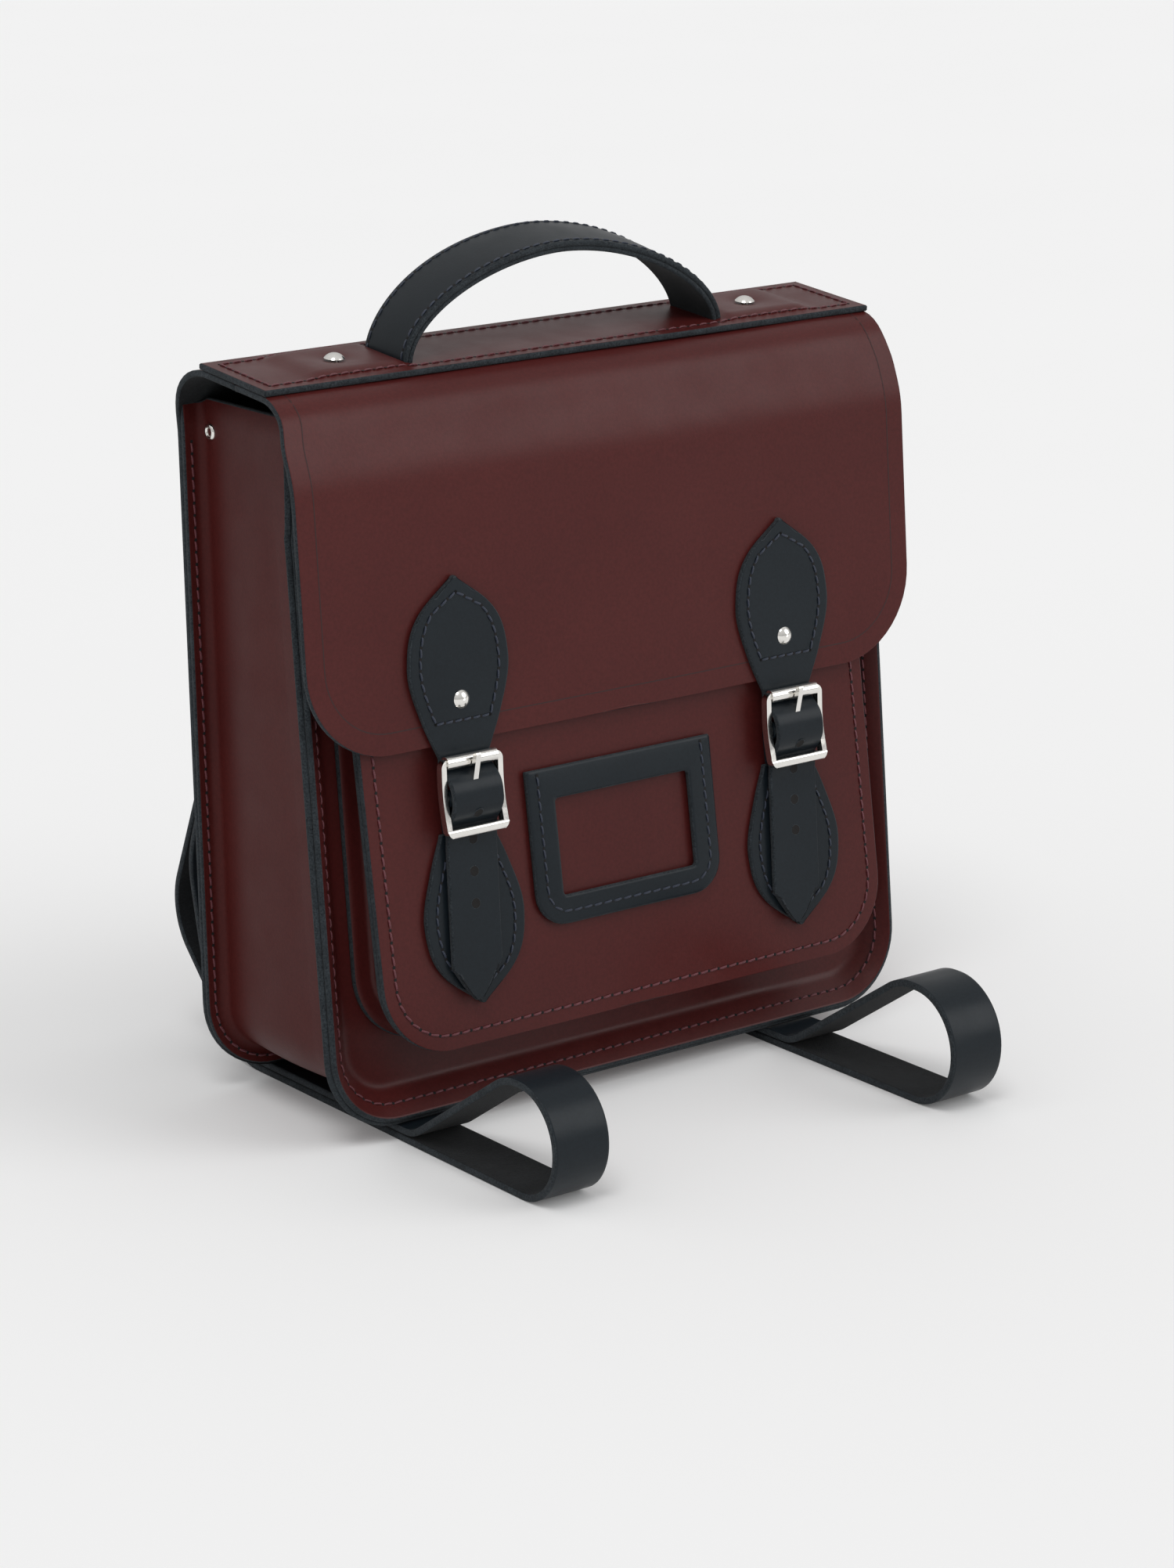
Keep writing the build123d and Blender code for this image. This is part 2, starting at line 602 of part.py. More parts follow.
anchor_rivets = []
for side, x in SHOULDER_X.items():
    plane = behind(x)
    strap = shoulder_strap(side) - prong_slot_cut(plane)
    anchor_plane = Plane(origin=(x, BACK_Y, 0), x_dir=(-1, 0, 0), z_dir=(0, 1, 0))
    patch_outline = Pos(0, 217.5) * RectangleRounded(32, 38, 5)
    patch = sheet(anchor_plane, patch_outline, SHOULDER_THICK, SHOULDER_THICK + ANCHOR_PATCH)
    tail = chape(plane, ADJUSTER_CHAPE_S)
    for z in ANCHOR_RIVETS:
        hole = rivet_hole(anchor_plane, 0, z, -6, 12)
        strap -= hole
        patch -= hole
        back_panel -= hole
        anchor_rivets.append(rivet(anchor_plane, 0, z, -LEATHER, SHOULDER_THICK + ANCHOR_PATCH))
    for z in CHAPE_RIVETS:
        hole = rivet_hole(anchor_plane, 0, z, -6, 12)
        tail -= hole
        back_panel -= hole
        low_head = CHAPE_TOP_H - CHAPE_LOW_H
        anchor_rivets.append(rivet(anchor_plane, 0, z, -LEATHER, low_head))
    write(f"shoulder_strap_{side}", strap)
    write(f"strap_anchor_{side}", patch)
    write(f"adjuster_chape_{side}", tail)
    write(f"adjuster_frame_{side}", buckle_frame(plane))
    write(f"adjuster_roller_{side}", roller_tube(plane))
    write(f"adjuster_prong_{side}", prong(plane))

write("back_panel", back_panel)
write("gusset", gusset)
write("front_panel", front_panel)
write("pocket_gusset", pocket_gusset)
write("pocket_panel", pocket_panel)
write("card_holder", card_holder)
write("snap_sockets", group(snap_sockets))
write("gusset_eyelets", group(eyelets))
write("anchor_rivets", group(anchor_rivets))
write("top_panel", top_panel)
write("top_strip", top_strip)
write("handle", handle)
write("handle_rivets", group(handle_rivets))
write("flap_panel", flap_panel)
write("closure_rivets", group(closure_rivets))
write("snap_studs", group(snap_studs))
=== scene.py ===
import math

import bpy
import numpy as np
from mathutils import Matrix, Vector


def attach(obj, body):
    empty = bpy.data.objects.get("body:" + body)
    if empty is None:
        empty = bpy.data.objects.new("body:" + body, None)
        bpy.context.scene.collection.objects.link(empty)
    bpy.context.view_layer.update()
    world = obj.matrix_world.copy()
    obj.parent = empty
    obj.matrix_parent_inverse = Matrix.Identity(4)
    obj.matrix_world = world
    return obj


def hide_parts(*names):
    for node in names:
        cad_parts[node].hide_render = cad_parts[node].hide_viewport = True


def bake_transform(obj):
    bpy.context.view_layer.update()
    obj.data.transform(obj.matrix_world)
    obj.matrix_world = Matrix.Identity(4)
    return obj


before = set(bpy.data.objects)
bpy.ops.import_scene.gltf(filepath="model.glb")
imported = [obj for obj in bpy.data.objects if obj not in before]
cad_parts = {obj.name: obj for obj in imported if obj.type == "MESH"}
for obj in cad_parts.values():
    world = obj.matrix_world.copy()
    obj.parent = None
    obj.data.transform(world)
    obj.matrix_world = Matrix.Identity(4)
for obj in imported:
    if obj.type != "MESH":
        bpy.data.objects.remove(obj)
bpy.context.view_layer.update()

# All sizes are millimetres in the CAD frame. MM turns them into metres.
MM = 0.001
LEATHER = 2.2
EDGE_ROUND = 0.45
STITCH = 4.3

# The long leather: back, top and flap, as a path in y and z.
FLAP_HALF = 130.0
STRIP_HALF = 128.4
BACK_HALF = 124.5
BACK_Y = 64.0
BASE_Z = 5.3
TOP_BACK_Z = 266.3
TOP_FRONT = (-7.5, 259.5)
FLAP_KNEE = (-17.9, 232.0)
FLAP_LOW = (-23.2, 138.0)
BEND_RADII = [24.0, 16.0, 40.0]
SPLIT_Y = 20.0
CORNER_R = 28.0
FLAP_CORNER_R = 32.0
CREASE_INSET = 7.6
BACK_WAVES = 0.3
FLAP_WAVES = 0.4

# Gusset and front panel. The rim is the turned edge round the front.
RIM_HALF = 126.0
RIM_Y = -22.8
RIM_LEAN = 0.072
GUSSET_TOP = 251.0
PANEL_TOP = 246.0
WALL_INSET = 9.0
WALL_BULGE = 0.9
LIP_TOP = 214.0
LIP_BEND = 5.0
LIP_DEPTH = 24.0
FLANGE_BEND = 3.4
BACK_SEAM_TOP = 236.0
EYELET = (54.5, 239.5)

# Front pocket. Its front leans back, and s is the distance up it.
POCKET_HALF = 109.0
POCKET_Y = -33.4
POCKET_Z = 33.0
POCKET_LEAN = 0.130
POCKET_TOP = 200.0
POCKET_INSET = 8.0
POCKET_R = 26.0
POCKET_BACK = 6.8
POCKET_WAVES = 0.22

# Card holder, in x and s.
HOLDER_X = -4.2
HOLDER_HALF = 40.1
HOLDER_LOW_S = 34.5
HOLDER_TOP_S = 90.3
HOLDER_BORDER = 11.2

# Closures: leaf, strap and lower tab.
CLOSURE_X = 70.0
STRAP_HALF = 10.2
LEAF_HALF = 20.3
LEAF_RISE = 57.5
LEAF_KNOTS = [0.0, 0.17, 0.47, 0.79, 1.0]
LEAF_SEAM = 4.3
LEAF_SEAM_TIP = 5.5
LEAF_PITCH = 3.9
NECK_DROP = 4.0
TAB_TIP_S = 14.2
TAB_TOP_S = 74.8
STRAP_TIP_S = 16.3
STRAP_POINT = 13.0
STRAP_DRIFT = 0.062
HOLE_S = (82.0, 72.0, 61.0, 50.0)
WAVE_RADII = [5.0, 6.0, 6.0, 5.0, 6.0]
THINNEST = 0.3

# Top strip and handle.
STRIP_BACK_Y = 41.0
STRIP_DEPTH = 41.3
STRIP_SEAM = 4.9
STRIP_PITCH = 4.6
HANDLE_X = 68.0
HANDLE_RISE = 37.6
HANDLE_BASE_Z = 265.0
HANDLE_ROOT_Z = 261.5
HANDLE_SINK = 2.8
HANDLE_WIDTH = 25.0
HANDLE_Y = 20.3
HANDLE_THICK = 3.8
HANDLE_ARCH = 1.85
HANDLE_ROLL = 0.18
TAB_LENGTH = 34.0
RIVET_X = 88.0

# Shoulder straps, each with a loop on the floor in front.
SHOULDER_X = {"left": -87.5, "right": 74.7}
SHOULDER_WIDTH = 22.0
SHOULDER_THICK = 2.5
FRONT_LOOP = {"left": -114.0, "right": -125.0}
LOOP_HEIGHT = {"left": 41.5, "right": 44.0}
LOOP_SLOPE = 0.64
ARCH = (84.0, 99.0)
ADJUSTER = (BACK_Y - 1.6, -20.0)
ANCHOR_Z = 198.5
ANCHOR_HEIGHT = 38.0
ANCHOR_HALF = 16.0
ANCHOR_THICK = 2.0
ANCHOR_CORNER = 5.0


# ---- small geometry helpers -----------------------------------------------------
def unit(v):
    """The vector with length 1."""
    v = np.asarray(v, float)
    return v / max(np.linalg.norm(v), 1e-12)


def rounded(points, radii, step=2.0):
    """A flat path through points with round corners, sampled about every step."""
    points = [np.array(p, float) for p in points]
    path = [points[0]]
    for before, corner, after, radius in zip(points, points[1:], points[2:], radii):
        a, b = unit(corner - before), unit(after - corner)
        turn = math.acos(float(np.clip(a @ b, -1, 1)))
        side = math.copysign(1, a[0] * b[1] - a[1] * b[0])
        left = np.array([-a[1], a[0]]) * side
        start = corner - a * radius * math.tan(turn / 2)
        count = max(3, int(radius * turn / step) + 1)
        for k in range(count + 1):
            angle = turn * k / count * side
            cos, sin = math.cos(angle), math.sin(angle)
            spoke = np.array([-left[0] * cos + left[1] * sin, -left[0] * sin - left[1] * cos])
            path.append(start + left * radius + spoke * radius)
    path.append(points[-1])
    return respace(np.array(path), step)


def respace(path, step):
    """The same line with no run longer than step."""
    out = [path[0]]
    for p, q in zip(path, path[1:]):
        count = max(1, math.ceil(np.linalg.norm(q - p) / step))
        out += [p + (q - p) * k / count for k in range(1, count + 1)]
    out = np.array(out)
    keep = np.r_[True, np.linalg.norm(np.diff(out, axis=0), axis=1) > 1e-6]
    return out[keep]


def lengths(path):
    """Distance along a line at each of its points."""
    return np.r_[0, np.cumsum(np.linalg.norm(np.diff(path, axis=0), axis=1))]


def at(path, stations):
    """Points of a line at given distances along it."""
    along = lengths(path)
    return np.stack([np.interp(stations, along, path[:, k]) for k in range(path.shape[1])], 1)


def shifted(path, amount):
    """A flat path moved to its left by amount."""
    tangent = np.gradient(path, axis=0)
    tangent /= np.linalg.norm(tangent, axis=1, keepdims=True)
    return path + amount * np.stack([-tangent[:, 1], tangent[:, 0]], 1)


def smooth_step(x):
    """Eases from 0 to 1 as x goes from 0 to 1."""
    x = np.clip(x, 0, 1)
    return x * x * (3 - 2 * x)


def through(knots, values, x):
    """Smooth curve through a few knots."""
    slopes = np.gradient(np.array(values, float), np.array(knots, float))
    k = np.clip(np.searchsorted(knots, x) - 1, 0, len(knots) - 2)
    lo, hi = np.array(knots)[k], np.array(knots)[k + 1]
    t = (x - lo) / (hi - lo)
    a, b = np.array(values)[k], np.array(values)[k + 1]
    m, n = slopes[k] * (hi - lo), slopes[k + 1] * (hi - lo)
    ends = (2 * t**3 - 3 * t**2 + 1) * a + (3 * t**2 - 2 * t**3) * b
    return ends + (t**3 - 2 * t**2 + t) * m + (t**3 - t**2) * n


def normals_of(grid, closed=False):
    """Unit normals of a grid of points. A closed grid joins its last column to its first."""
    along = np.gradient(grid, axis=0)
    if closed:
        across = np.roll(grid, -1, 1) - np.roll(grid, 1, 1)
    else:
        across = np.gradient(grid, axis=1)
    n = np.cross(along, across)
    return n / np.maximum(np.linalg.norm(n, axis=2, keepdims=True), 1e-12)


def make(name, points, faces, materials, slots, body, smooth=True):
    """A mesh piece from points in millimetres, riding on a body."""
    mesh = bpy.data.meshes.new(name)
    mesh.from_pydata((np.asarray(points) * MM).tolist(), [], faces)
    for material in materials:
        mesh.materials.append(material)
    mesh.polygons.foreach_set("material_index", np.asarray(slots, np.int32))
    mesh.polygons.foreach_set("use_smooth", np.full(len(faces), smooth))
    mesh.update()
    piece = bpy.data.objects.new(name, mesh)
    bpy.context.scene.collection.objects.link(piece)
    if body:
        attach(piece, body)
    return piece


def rim_loops(rows, cols, closed):
    """Grid indices round a sheet's edge, or round both edges of a ring."""
    if closed:
        return [[(0, c) for c in range(cols)], [(rows - 1, c) for c in range(cols - 1, -1, -1)]]
    loop = [(0, c) for c in range(cols)]
    loop += [(r, cols - 1) for r in range(1, rows)]
    loop += [(rows - 1, c) for c in range(cols - 2, -1, -1)]
    loop += [(r, 0) for r in range(rows - 2, 0, -1)]
    return [loop]


def leather(name, grid, thickness, body, skin, closed=False, flip=False, cap=False, node=None):
    """A sheet of leather with its grain side on grid, rounded raw edges and a flesh side.

    closed joins the last column to the first, flip turns the grain side over, cap fills the
    area inside the last row, and node names the CAD pieces that the sheet takes the place of.
    """
    if flip:
        grid = grid[:, ::-1]
    rows, cols = grid.shape[:2]
    normal = normals_of(grid, closed)
    low = grid - normal * thickness
    inward = np.zeros_like(grid)
    inward[0] += grid[1] - grid[0]
    inward[-1] += grid[-2] - grid[-1]
    if not closed:
        inward[:, 0] += grid[:, 1] - grid[:, 0]
        inward[:, -1] += grid[:, -2] - grid[:, -1]
    reach = np.linalg.norm(inward, axis=2, keepdims=True)
    inward = np.where(reach > 1e-9, inward / np.maximum(reach, 1e-9), 0)
    top_face = grid + inward * EDGE_ROUND
    low_face = low + inward * EDGE_ROUND
    count = rows * cols
    points = [*top_face.reshape(-1, 3), *low_face.reshape(-1, 3)]
    faces, slots = [], []
    turns = cols if closed else cols - 1
    for r in range(rows - 1):
        for c in range(turns):
            d = (c + 1) % cols
            quad = (r * cols + c, (r + 1) * cols + c, (r + 1) * cols + d, r * cols + d)
            faces.append(quad)
            slots.append(0)
            faces.append(tuple(count + k for k in quad[::-1]))
            slots.append(2)
    if cap:
        last = (rows - 1) * cols
        for c in range(cols // 2 - 1):
            quad = (last + cols - 1 - c, last + cols - 2 - c, last + c + 1, last + c)
            faces.append(quad)
            slots.append(0)
            faces.append(tuple(count + k for k in quad[::-1]))
            slots.append(2)
    for loop in rim_loops(rows, cols, closed):
        if cap:
            loop = [k for k in loop if k[0] < rows - 1 or k[1] in (0, cols - 1)]
        first = len(points)
        high_ring = [grid[k] - normal[k] * EDGE_ROUND for k in loop]
        low_ring = [low[k] + normal[k] * EDGE_ROUND for k in loop]
        points += high_ring + low_ring
        size = len(loop)
        for k in range(size):
            m = (k + 1) % size
            top_k, top_m = (loop[i][0] * cols + loop[i][1] for i in (k, m))
            high_k, high_m = first + k, first + m
            low_k, low_m = first + size + k, first + size + m
            faces.append((top_k, top_m, high_m, high_k))
            faces.append((high_k, high_m, low_m, low_k))
            faces.append((low_k, low_m, count + top_m, count + top_k))
            slots += [1, 1, 1]
    piece = make(name, points, faces, [skin, raw_edge, flesh], slots, body)
    if node:
        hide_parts(*([node] if isinstance(node, str) else node))
    return piece


def tub_ring(half, bottom, top, radius, corner=14, side=26, floor=30):
    """Points down the left side, round the bottom and up the right, in x and z."""
    radius = max(radius, 0.01)
    left = [(-half, z) for z in np.linspace(top, bottom + radius, side)]
    turn = np.linspace(0, math.pi / 2, corner)[1:]
    left += [(-half + radius * (1 - math.cos(a)), bottom + radius * (1 - math.sin(a))) for a in turn]
    middle = [(x, bottom) for x in np.linspace(-half + radius, half - radius, floor)[1:-1]]
    right = [(-x, z) for x, z in left[::-1]]
    return np.array(left + middle + right)


def rim_y(z, depth):
    """Y of the leaning front rim at height z, depth behind its front."""
    return RIM_Y + RIM_LEAN * (z - BASE_Z) + depth


def pocket_y(z, depth):
    """Y of the pocket's leaning front at height z, depth behind it."""
    return POCKET_Y + POCKET_LEAN * (z - POCKET_Z) + depth


def on_pocket(s, h):
    """Y and Z of a point s up the pocket's front and h out from it."""
    slope = math.atan(POCKET_LEAN)
    return (
        POCKET_Y + s * math.sin(slope) - h * math.cos(slope),
        POCKET_Z + s * math.cos(slope) + h * math.sin(slope),
    )


def with_y(ring, y):
    """Points in x and z placed at y."""
    return np.stack([ring[:, 0], y, ring[:, 1]], 1)


def waves(x, z, size=0.35):
    """Slow unevenness of a leather sheet."""
    a = np.sin(x / 43 + 1.3) * np.sin(z / 57 + 0.4)
    b = 0.5 * np.sin(x / 21 + 2.1 + z / 90) * np.sin(z / 33 + 1.0)
    return size * (a + b)


# ---- materials --------------------------------------------------------------------
def new_material(name):
    """A material with its tree, shader and object coordinates."""
    material = bpy.data.materials.new(name)
    material.use_nodes = True
    tree = material.node_tree
    shader = tree.nodes["Principled BSDF"]
    place = tree.nodes.new("ShaderNodeTexCoord")
    return material, tree, shader, place.outputs["Object"]


def noise(tree, place, scale, detail=4.0, roughness=0.55):
    """Cloud noise from 0 to 1."""
    node = tree.nodes.new("ShaderNodeTexNoise")
    node.inputs["Scale"].default_value = scale
    node.inputs["Detail"].default_value = detail
    node.inputs["Roughness"].default_value = roughness
    tree.links.new(place, node.inputs["Vector"])
    return node.outputs["Fac"]


def ramp(tree, source, stops):
    """Colour or value stops along a 0 to 1 input."""
    node = tree.nodes.new("ShaderNodeValToRGB")
    while len(node.color_ramp.elements) < len(stops):
        node.color_ramp.elements.new(0.5)
    for element, (position, colour) in zip(node.color_ramp.elements, stops):
        element.position = position
        element.color = (*colour, 1) if len(colour) == 3 else colour
    tree.links.new(source, node.inputs["Fac"])
    return node.outputs["Color"]


def multiplied(tree, a, b):
    """Two colours multiplied."""
    node = tree.nodes.new("ShaderNodeMix")
    node.data_type = "RGBA"
    node.blend_type = "MULTIPLY"
    node.inputs[0].default_value = 1.0
    tree.links.new(a, node.inputs[6])
    tree.links.new(b, node.inputs[7])
    return node.outputs[2]


def bump(tree, shader, layers):
    """Chained bump nodes from (height, strength, distance in metres)."""
    below = None
    for height, strength, distance in layers:
        node = tree.nodes.new("ShaderNodeBump")
        node.inputs["Strength"].default_value = strength
        node.inputs["Distance"].default_value = distance
        tree.links.new(height, node.inputs["Height"])
        if below:
            tree.links.new(below, node.inputs["Normal"])
        below = node.outputs["Normal"]
    tree.links.new(below, shader.inputs["Normal"])


def cells(tree, place, scale):
    """Pebbled cells, as on the grain side of leather."""
    node = tree.nodes.new("ShaderNodeTexVoronoi")
    node.feature = "SMOOTH_F1"
    node.inputs["Scale"].default_value = scale
    tree.links.new(place, node.inputs["Vector"])
    return node.outputs["Distance"]


def grain_leather(name, dark, light, rough_low, rough_high, shine=0.21):
    """Coated smooth leather: fine pebble, faint scuffs and slow colour changes."""
    material, tree, shader, place = new_material(name)
    broad = ramp(tree, noise(tree, place, 14, 3), [(0.3, dark), (0.7, light)])
    speck = ramp(tree, noise(tree, place, 900, 5), [(0.35, (0.90,) * 3), (0.65, (1.08,) * 3)])
    tree.links.new(multiplied(tree, broad, speck), shader.inputs["Base Color"])
    gloss = ramp(tree, noise(tree, place, 60, 6), [(0.3, (rough_low,) * 3), (0.75, (rough_high,) * 3)])
    tree.links.new(gloss, shader.inputs["Roughness"])
    shader.inputs["Specular IOR Level"].default_value = shine
    layers = [
        (noise(tree, place, 22, 2), 0.25, 0.0012),
        (cells(tree, place, 1500), 0.10, 0.00012),
        (noise(tree, place, 3200, 4), 0.16, 0.00010),
    ]
    bump(tree, shader, layers)
    return material


def raw_leather(name, dark, light, strength):
    """Cut edge or flesh side: matt and fibrous, with a strength for its roughness."""
    material, tree, shader, place = new_material(name)
    fibre = noise(tree, place, 1500, 6, 0.75)
    patch = noise(tree, place, 160, 4, 0.6)
    tone = ramp(tree, fibre, [(0.34, dark), (0.66, light)])
    shade = ramp(tree, patch, [(0.3, (0.72,) * 3), (0.7, (1.15,) * 3)])
    tree.links.new(multiplied(tree, tone, shade), shader.inputs["Base Color"])
    shader.inputs["Roughness"].default_value = 0.95
    shader.inputs["Specular IOR Level"].default_value = 0.15
    shader.inputs["Sheen Weight"].default_value = 0.05
    shader.inputs["Sheen Roughness"].default_value = 0.6
    bump(tree, shader, [(patch, 0.4, 0.0006), (fibre, strength, 0.0005)])
    return material


def thread_material(name, dark, light):
    """Waxed thread with fine strands."""
    material, tree, shader, place = new_material(name)
    strand = noise(tree, place, 2600, 3)
    tree.links.new(ramp(tree, strand, [(0.35, dark), (0.65, light)]), shader.inputs["Base Color"])
    shader.inputs["Roughness"].default_value = 0.55
    shader.inputs["Sheen Weight"].default_value = 0.1
    bump(tree, shader, [(strand, 0.5, 0.0002)])
    return material


def metal(name, colour, rough_low, rough_high):
    """Polished metal with slight wear."""
    material, tree, shader, place = new_material(name)
    wear = noise(tree, place, 420, 5)
    tint = ramp(tree, wear, [(0.3, tuple(0.93 * c for c in colour)), (0.7, colour)])
    tree.links.new(tint, shader.inputs["Base Color"])
    gloss = ramp(tree, wear, [(0.3, (rough_low,) * 3), (0.8, (rough_high,) * 3)])
    tree.links.new(gloss, shader.inputs["Roughness"])
    shader.inputs["Metallic"].default_value = 1.0
    bump(tree, shader, [(noise(tree, place, 130, 2), 0.12, 0.0004)])
    return material


def plain(name, colour, roughness):
    """One colour, a little uneven."""
    material, tree, shader, place = new_material(name)
    darker = tuple(0.85 * c for c in colour)
    tint = ramp(tree, noise(tree, place, 700, 3), [(0.3, darker), (0.7, colour)])
    tree.links.new(tint, shader.inputs["Base Color"])
    shader.inputs["Roughness"].default_value = roughness
    return material


burgundy = grain_leather("burgundy_grain", (0.062, 0.0092, 0.0086), (0.074, 0.0122, 0.0112), 0.31, 0.42)
# The side wall is the same leather: this darker, less shiny copy is painted shade for the dark side of the
# studio.
shaded_wall_burgundy = grain_leather(
    "burgundy_wall_shaded", (0.058, 0.0090, 0.0082), (0.070, 0.0118, 0.0105), 0.36, 0.47, shine=0.12
)
navy = grain_leather("navy_grain", (0.0070, 0.0108, 0.0145), (0.0095, 0.0142, 0.0185), 0.30, 0.42)
raw_edge = raw_leather("raw_edge", (0.007, 0.010, 0.013), (0.048, 0.058, 0.066), 0.9)
flesh = raw_leather("flesh_side", (0.004, 0.005, 0.006), (0.014, 0.016, 0.018), 0.6)
burgundy_thread = thread_material("burgundy_thread", (0.075, 0.012, 0.018), (0.15, 0.032, 0.042))
navy_thread = thread_material("navy_thread", (0.006, 0.010, 0.024), (0.017, 0.027, 0.052))
# Near-black discs stand in for the insides of needle holes, punched holes and eyelets: painted shade, as
# the holes are not cut.
hole_shade = plain("hole_shade", (0.004, 0.003, 0.003), 0.9)
crease_shade = plain("crease_shade", (0.028, 0.0055, 0.0052), 0.7)
nickel = metal("nickel", (0.86, 0.84, 0.80), 0.12, 0.22)
snap_steel = metal("snap_steel", (0.6, 0.6, 0.6), 0.25, 0.4)


# ---- stitches -----------------------------------------------------------------------
HEXAGON = np.linspace(0, 2 * math.pi, 7)[:-1]
# Share of a stitch's length, its thickness there, and how far it stands out.
THREAD_PROFILE = [
    (0.0, 0.30, -0.45),
    (0.10, 0.78, 0.02),
    (0.30, 1.0, 0.34),
    (0.70, 1.0, 0.34),
    (0.90, 0.78, 0.02),
    (1.0, 0.30, -0.45),
]
# Height and radius of the rings of each needle hole's small disc of painted shade.
NEEDLE_RINGS = [(0.05, 0.62), (0.07, 0.30)]


def ring_walls(first, rings, size):
    """Quads between rings of points that follow one another."""
    faces = []
    for r in range(rings - 1):
        a, b = first + r * size, first + (r + 1) * size
        for k in range(size):
            m = (k + 1) % size
            faces.append((a + k, a + m, b + m, b + k))
    return faces


def stitches(name, line, normal, body, thread, pitch=STITCH, width=0.85, tilt=0.10):
    """Separate thread stitches laid along a line, each diving into a needle hole drawn as a small disc of
    painted shade.
    """
    along = lengths(line)
    count = max(1, int(round(along[-1] / pitch)))
    station = np.linspace(0, along[-1], count + 1)
    marks = at(line, station)
    ups = np.stack([np.interp(station, along, normal[:, k]) for k in range(3)], 1)
    points, faces, slots = [], [], []
    for start, end, up_a, up_b in zip(marks, marks[1:], ups, ups[1:]):
        up = unit(up_a + up_b)
        ahead = end - start
        side = unit(np.cross(ahead, up))
        reach = np.linalg.norm(ahead)
        start = start + side * reach * tilt * 0.5
        ahead = ahead - side * reach * tilt
        first = len(points)
        for share, fat, rise in THREAD_PROFILE:
            centre = start + ahead * (0.06 + 0.88 * share) + up * rise * width * 0.8
            for a in HEXAGON:
                points.append(centre + (side * math.cos(a) + up * math.sin(a) * 0.7) * width / 2 * fat)
        walls = ring_walls(first, len(THREAD_PROFILE), 6)
        last = len(points) - 6
        faces += walls + [tuple(range(first + 5, first - 1, -1)), tuple(range(last, last + 6))]
        slots += [0] * (len(walls) + 2)
    for mark, up in zip(marks, ups):
        up = unit(up)
        side = unit(np.cross(up, (0.31, 0.52, 0.79)))
        third = np.cross(up, side)
        first = len(points)
        for height, radius in NEEDLE_RINGS:
            for a in HEXAGON:
                points.append(mark + up * height + (side * math.cos(a) + third * math.sin(a)) * radius)
        walls = ring_walls(first, len(NEEDLE_RINGS), 6)
        faces += walls + [tuple(range(first + 6, first + 12))]
        slots += [1] * (len(walls) + 1)
    piece = make(name, points, faces, [thread, hole_shade], slots, body)
    return piece


def facing(count, direction):
    """The same unit direction, count times."""
    return np.tile(unit(direction), (count, 1))


pocket_out = unit((0, -1, POCKET_LEAN))


# ---- main leather: back, top and flap ---------------------------------------------------
def inset_columns(half, middle=22):
    """Positions across a sheet, closer together near its edges."""
    edge = np.array([0, 0.8, 2.0, 4.0, 7.0, 11.0, 16.0])
    inner = np.linspace(-half + 22.0, half - 22.0, middle)
    return np.r_[-half + edge, inner, (half - edge)[::-1]]


def corner_half(distance, half, radius):
    """Half-width of a sheet at a distance from its round-cornered end."""
    d = np.clip(distance, 0, radius)
    return half - radius + np.sqrt(np.maximum(radius**2 - (radius - d) ** 2, 0))


def corner_stations(radius, count=14):
    """Distances through a round corner, close together where it starts."""
    return radius * (1 - np.cos(np.linspace(0, math.pi / 2, count)))


main_corners = [(BACK_Y, BASE_Z), (BACK_Y, TOP_BACK_Z), TOP_FRONT, FLAP_KNEE, FLAP_LOW]
main_path = rounded(main_corners, BEND_RADII, 1.0)
main_length = lengths(main_path)
split_s = main_length[np.argmax((main_path[:, 1] > 255) & (main_path[:, 0] < SPLIT_Y))]
flap_end = main_length[-1]
main_out = shifted(main_path, -1.0) - main_path


def main_sheet(stations, half_of, wave_size):
    """Grid of the long leather at distances along its path."""
    yz = at(main_path, stations)
    normal = np.stack([np.interp(stations, main_length, main_out[:, k]) for k in (0, 1)], 1)
    rows = []
    for s, (y, z), (ny, nz) in zip(stations, yz, normal):
        half = half_of(s, z)
        x = inset_columns(half)
        bulge = waves(x, s, wave_size) * smooth_step((half - abs(x)) / 30)
        rows.append(np.stack([x, y + ny * bulge, z + nz * bulge], 1))
    return np.array(rows)


def back_half(s, z):
    """Half-width of the back and top at distance s and height z."""
    if s < CORNER_R:
        return corner_half(s, BACK_HALF, CORNER_R)
    return BACK_HALF + (STRIP_HALF - BACK_HALF) * float(smooth_step((z - 238) / 26))


def flap_half(s, z):
    """Half-width of the flap at distance s and height z."""
    left = flap_end - s
    if left < FLAP_CORNER_R:
        return corner_half(left, FLAP_HALF, FLAP_CORNER_R)
    return STRIP_HALF + (FLAP_HALF - STRIP_HALF) * float(smooth_step((255 - z) / 12))


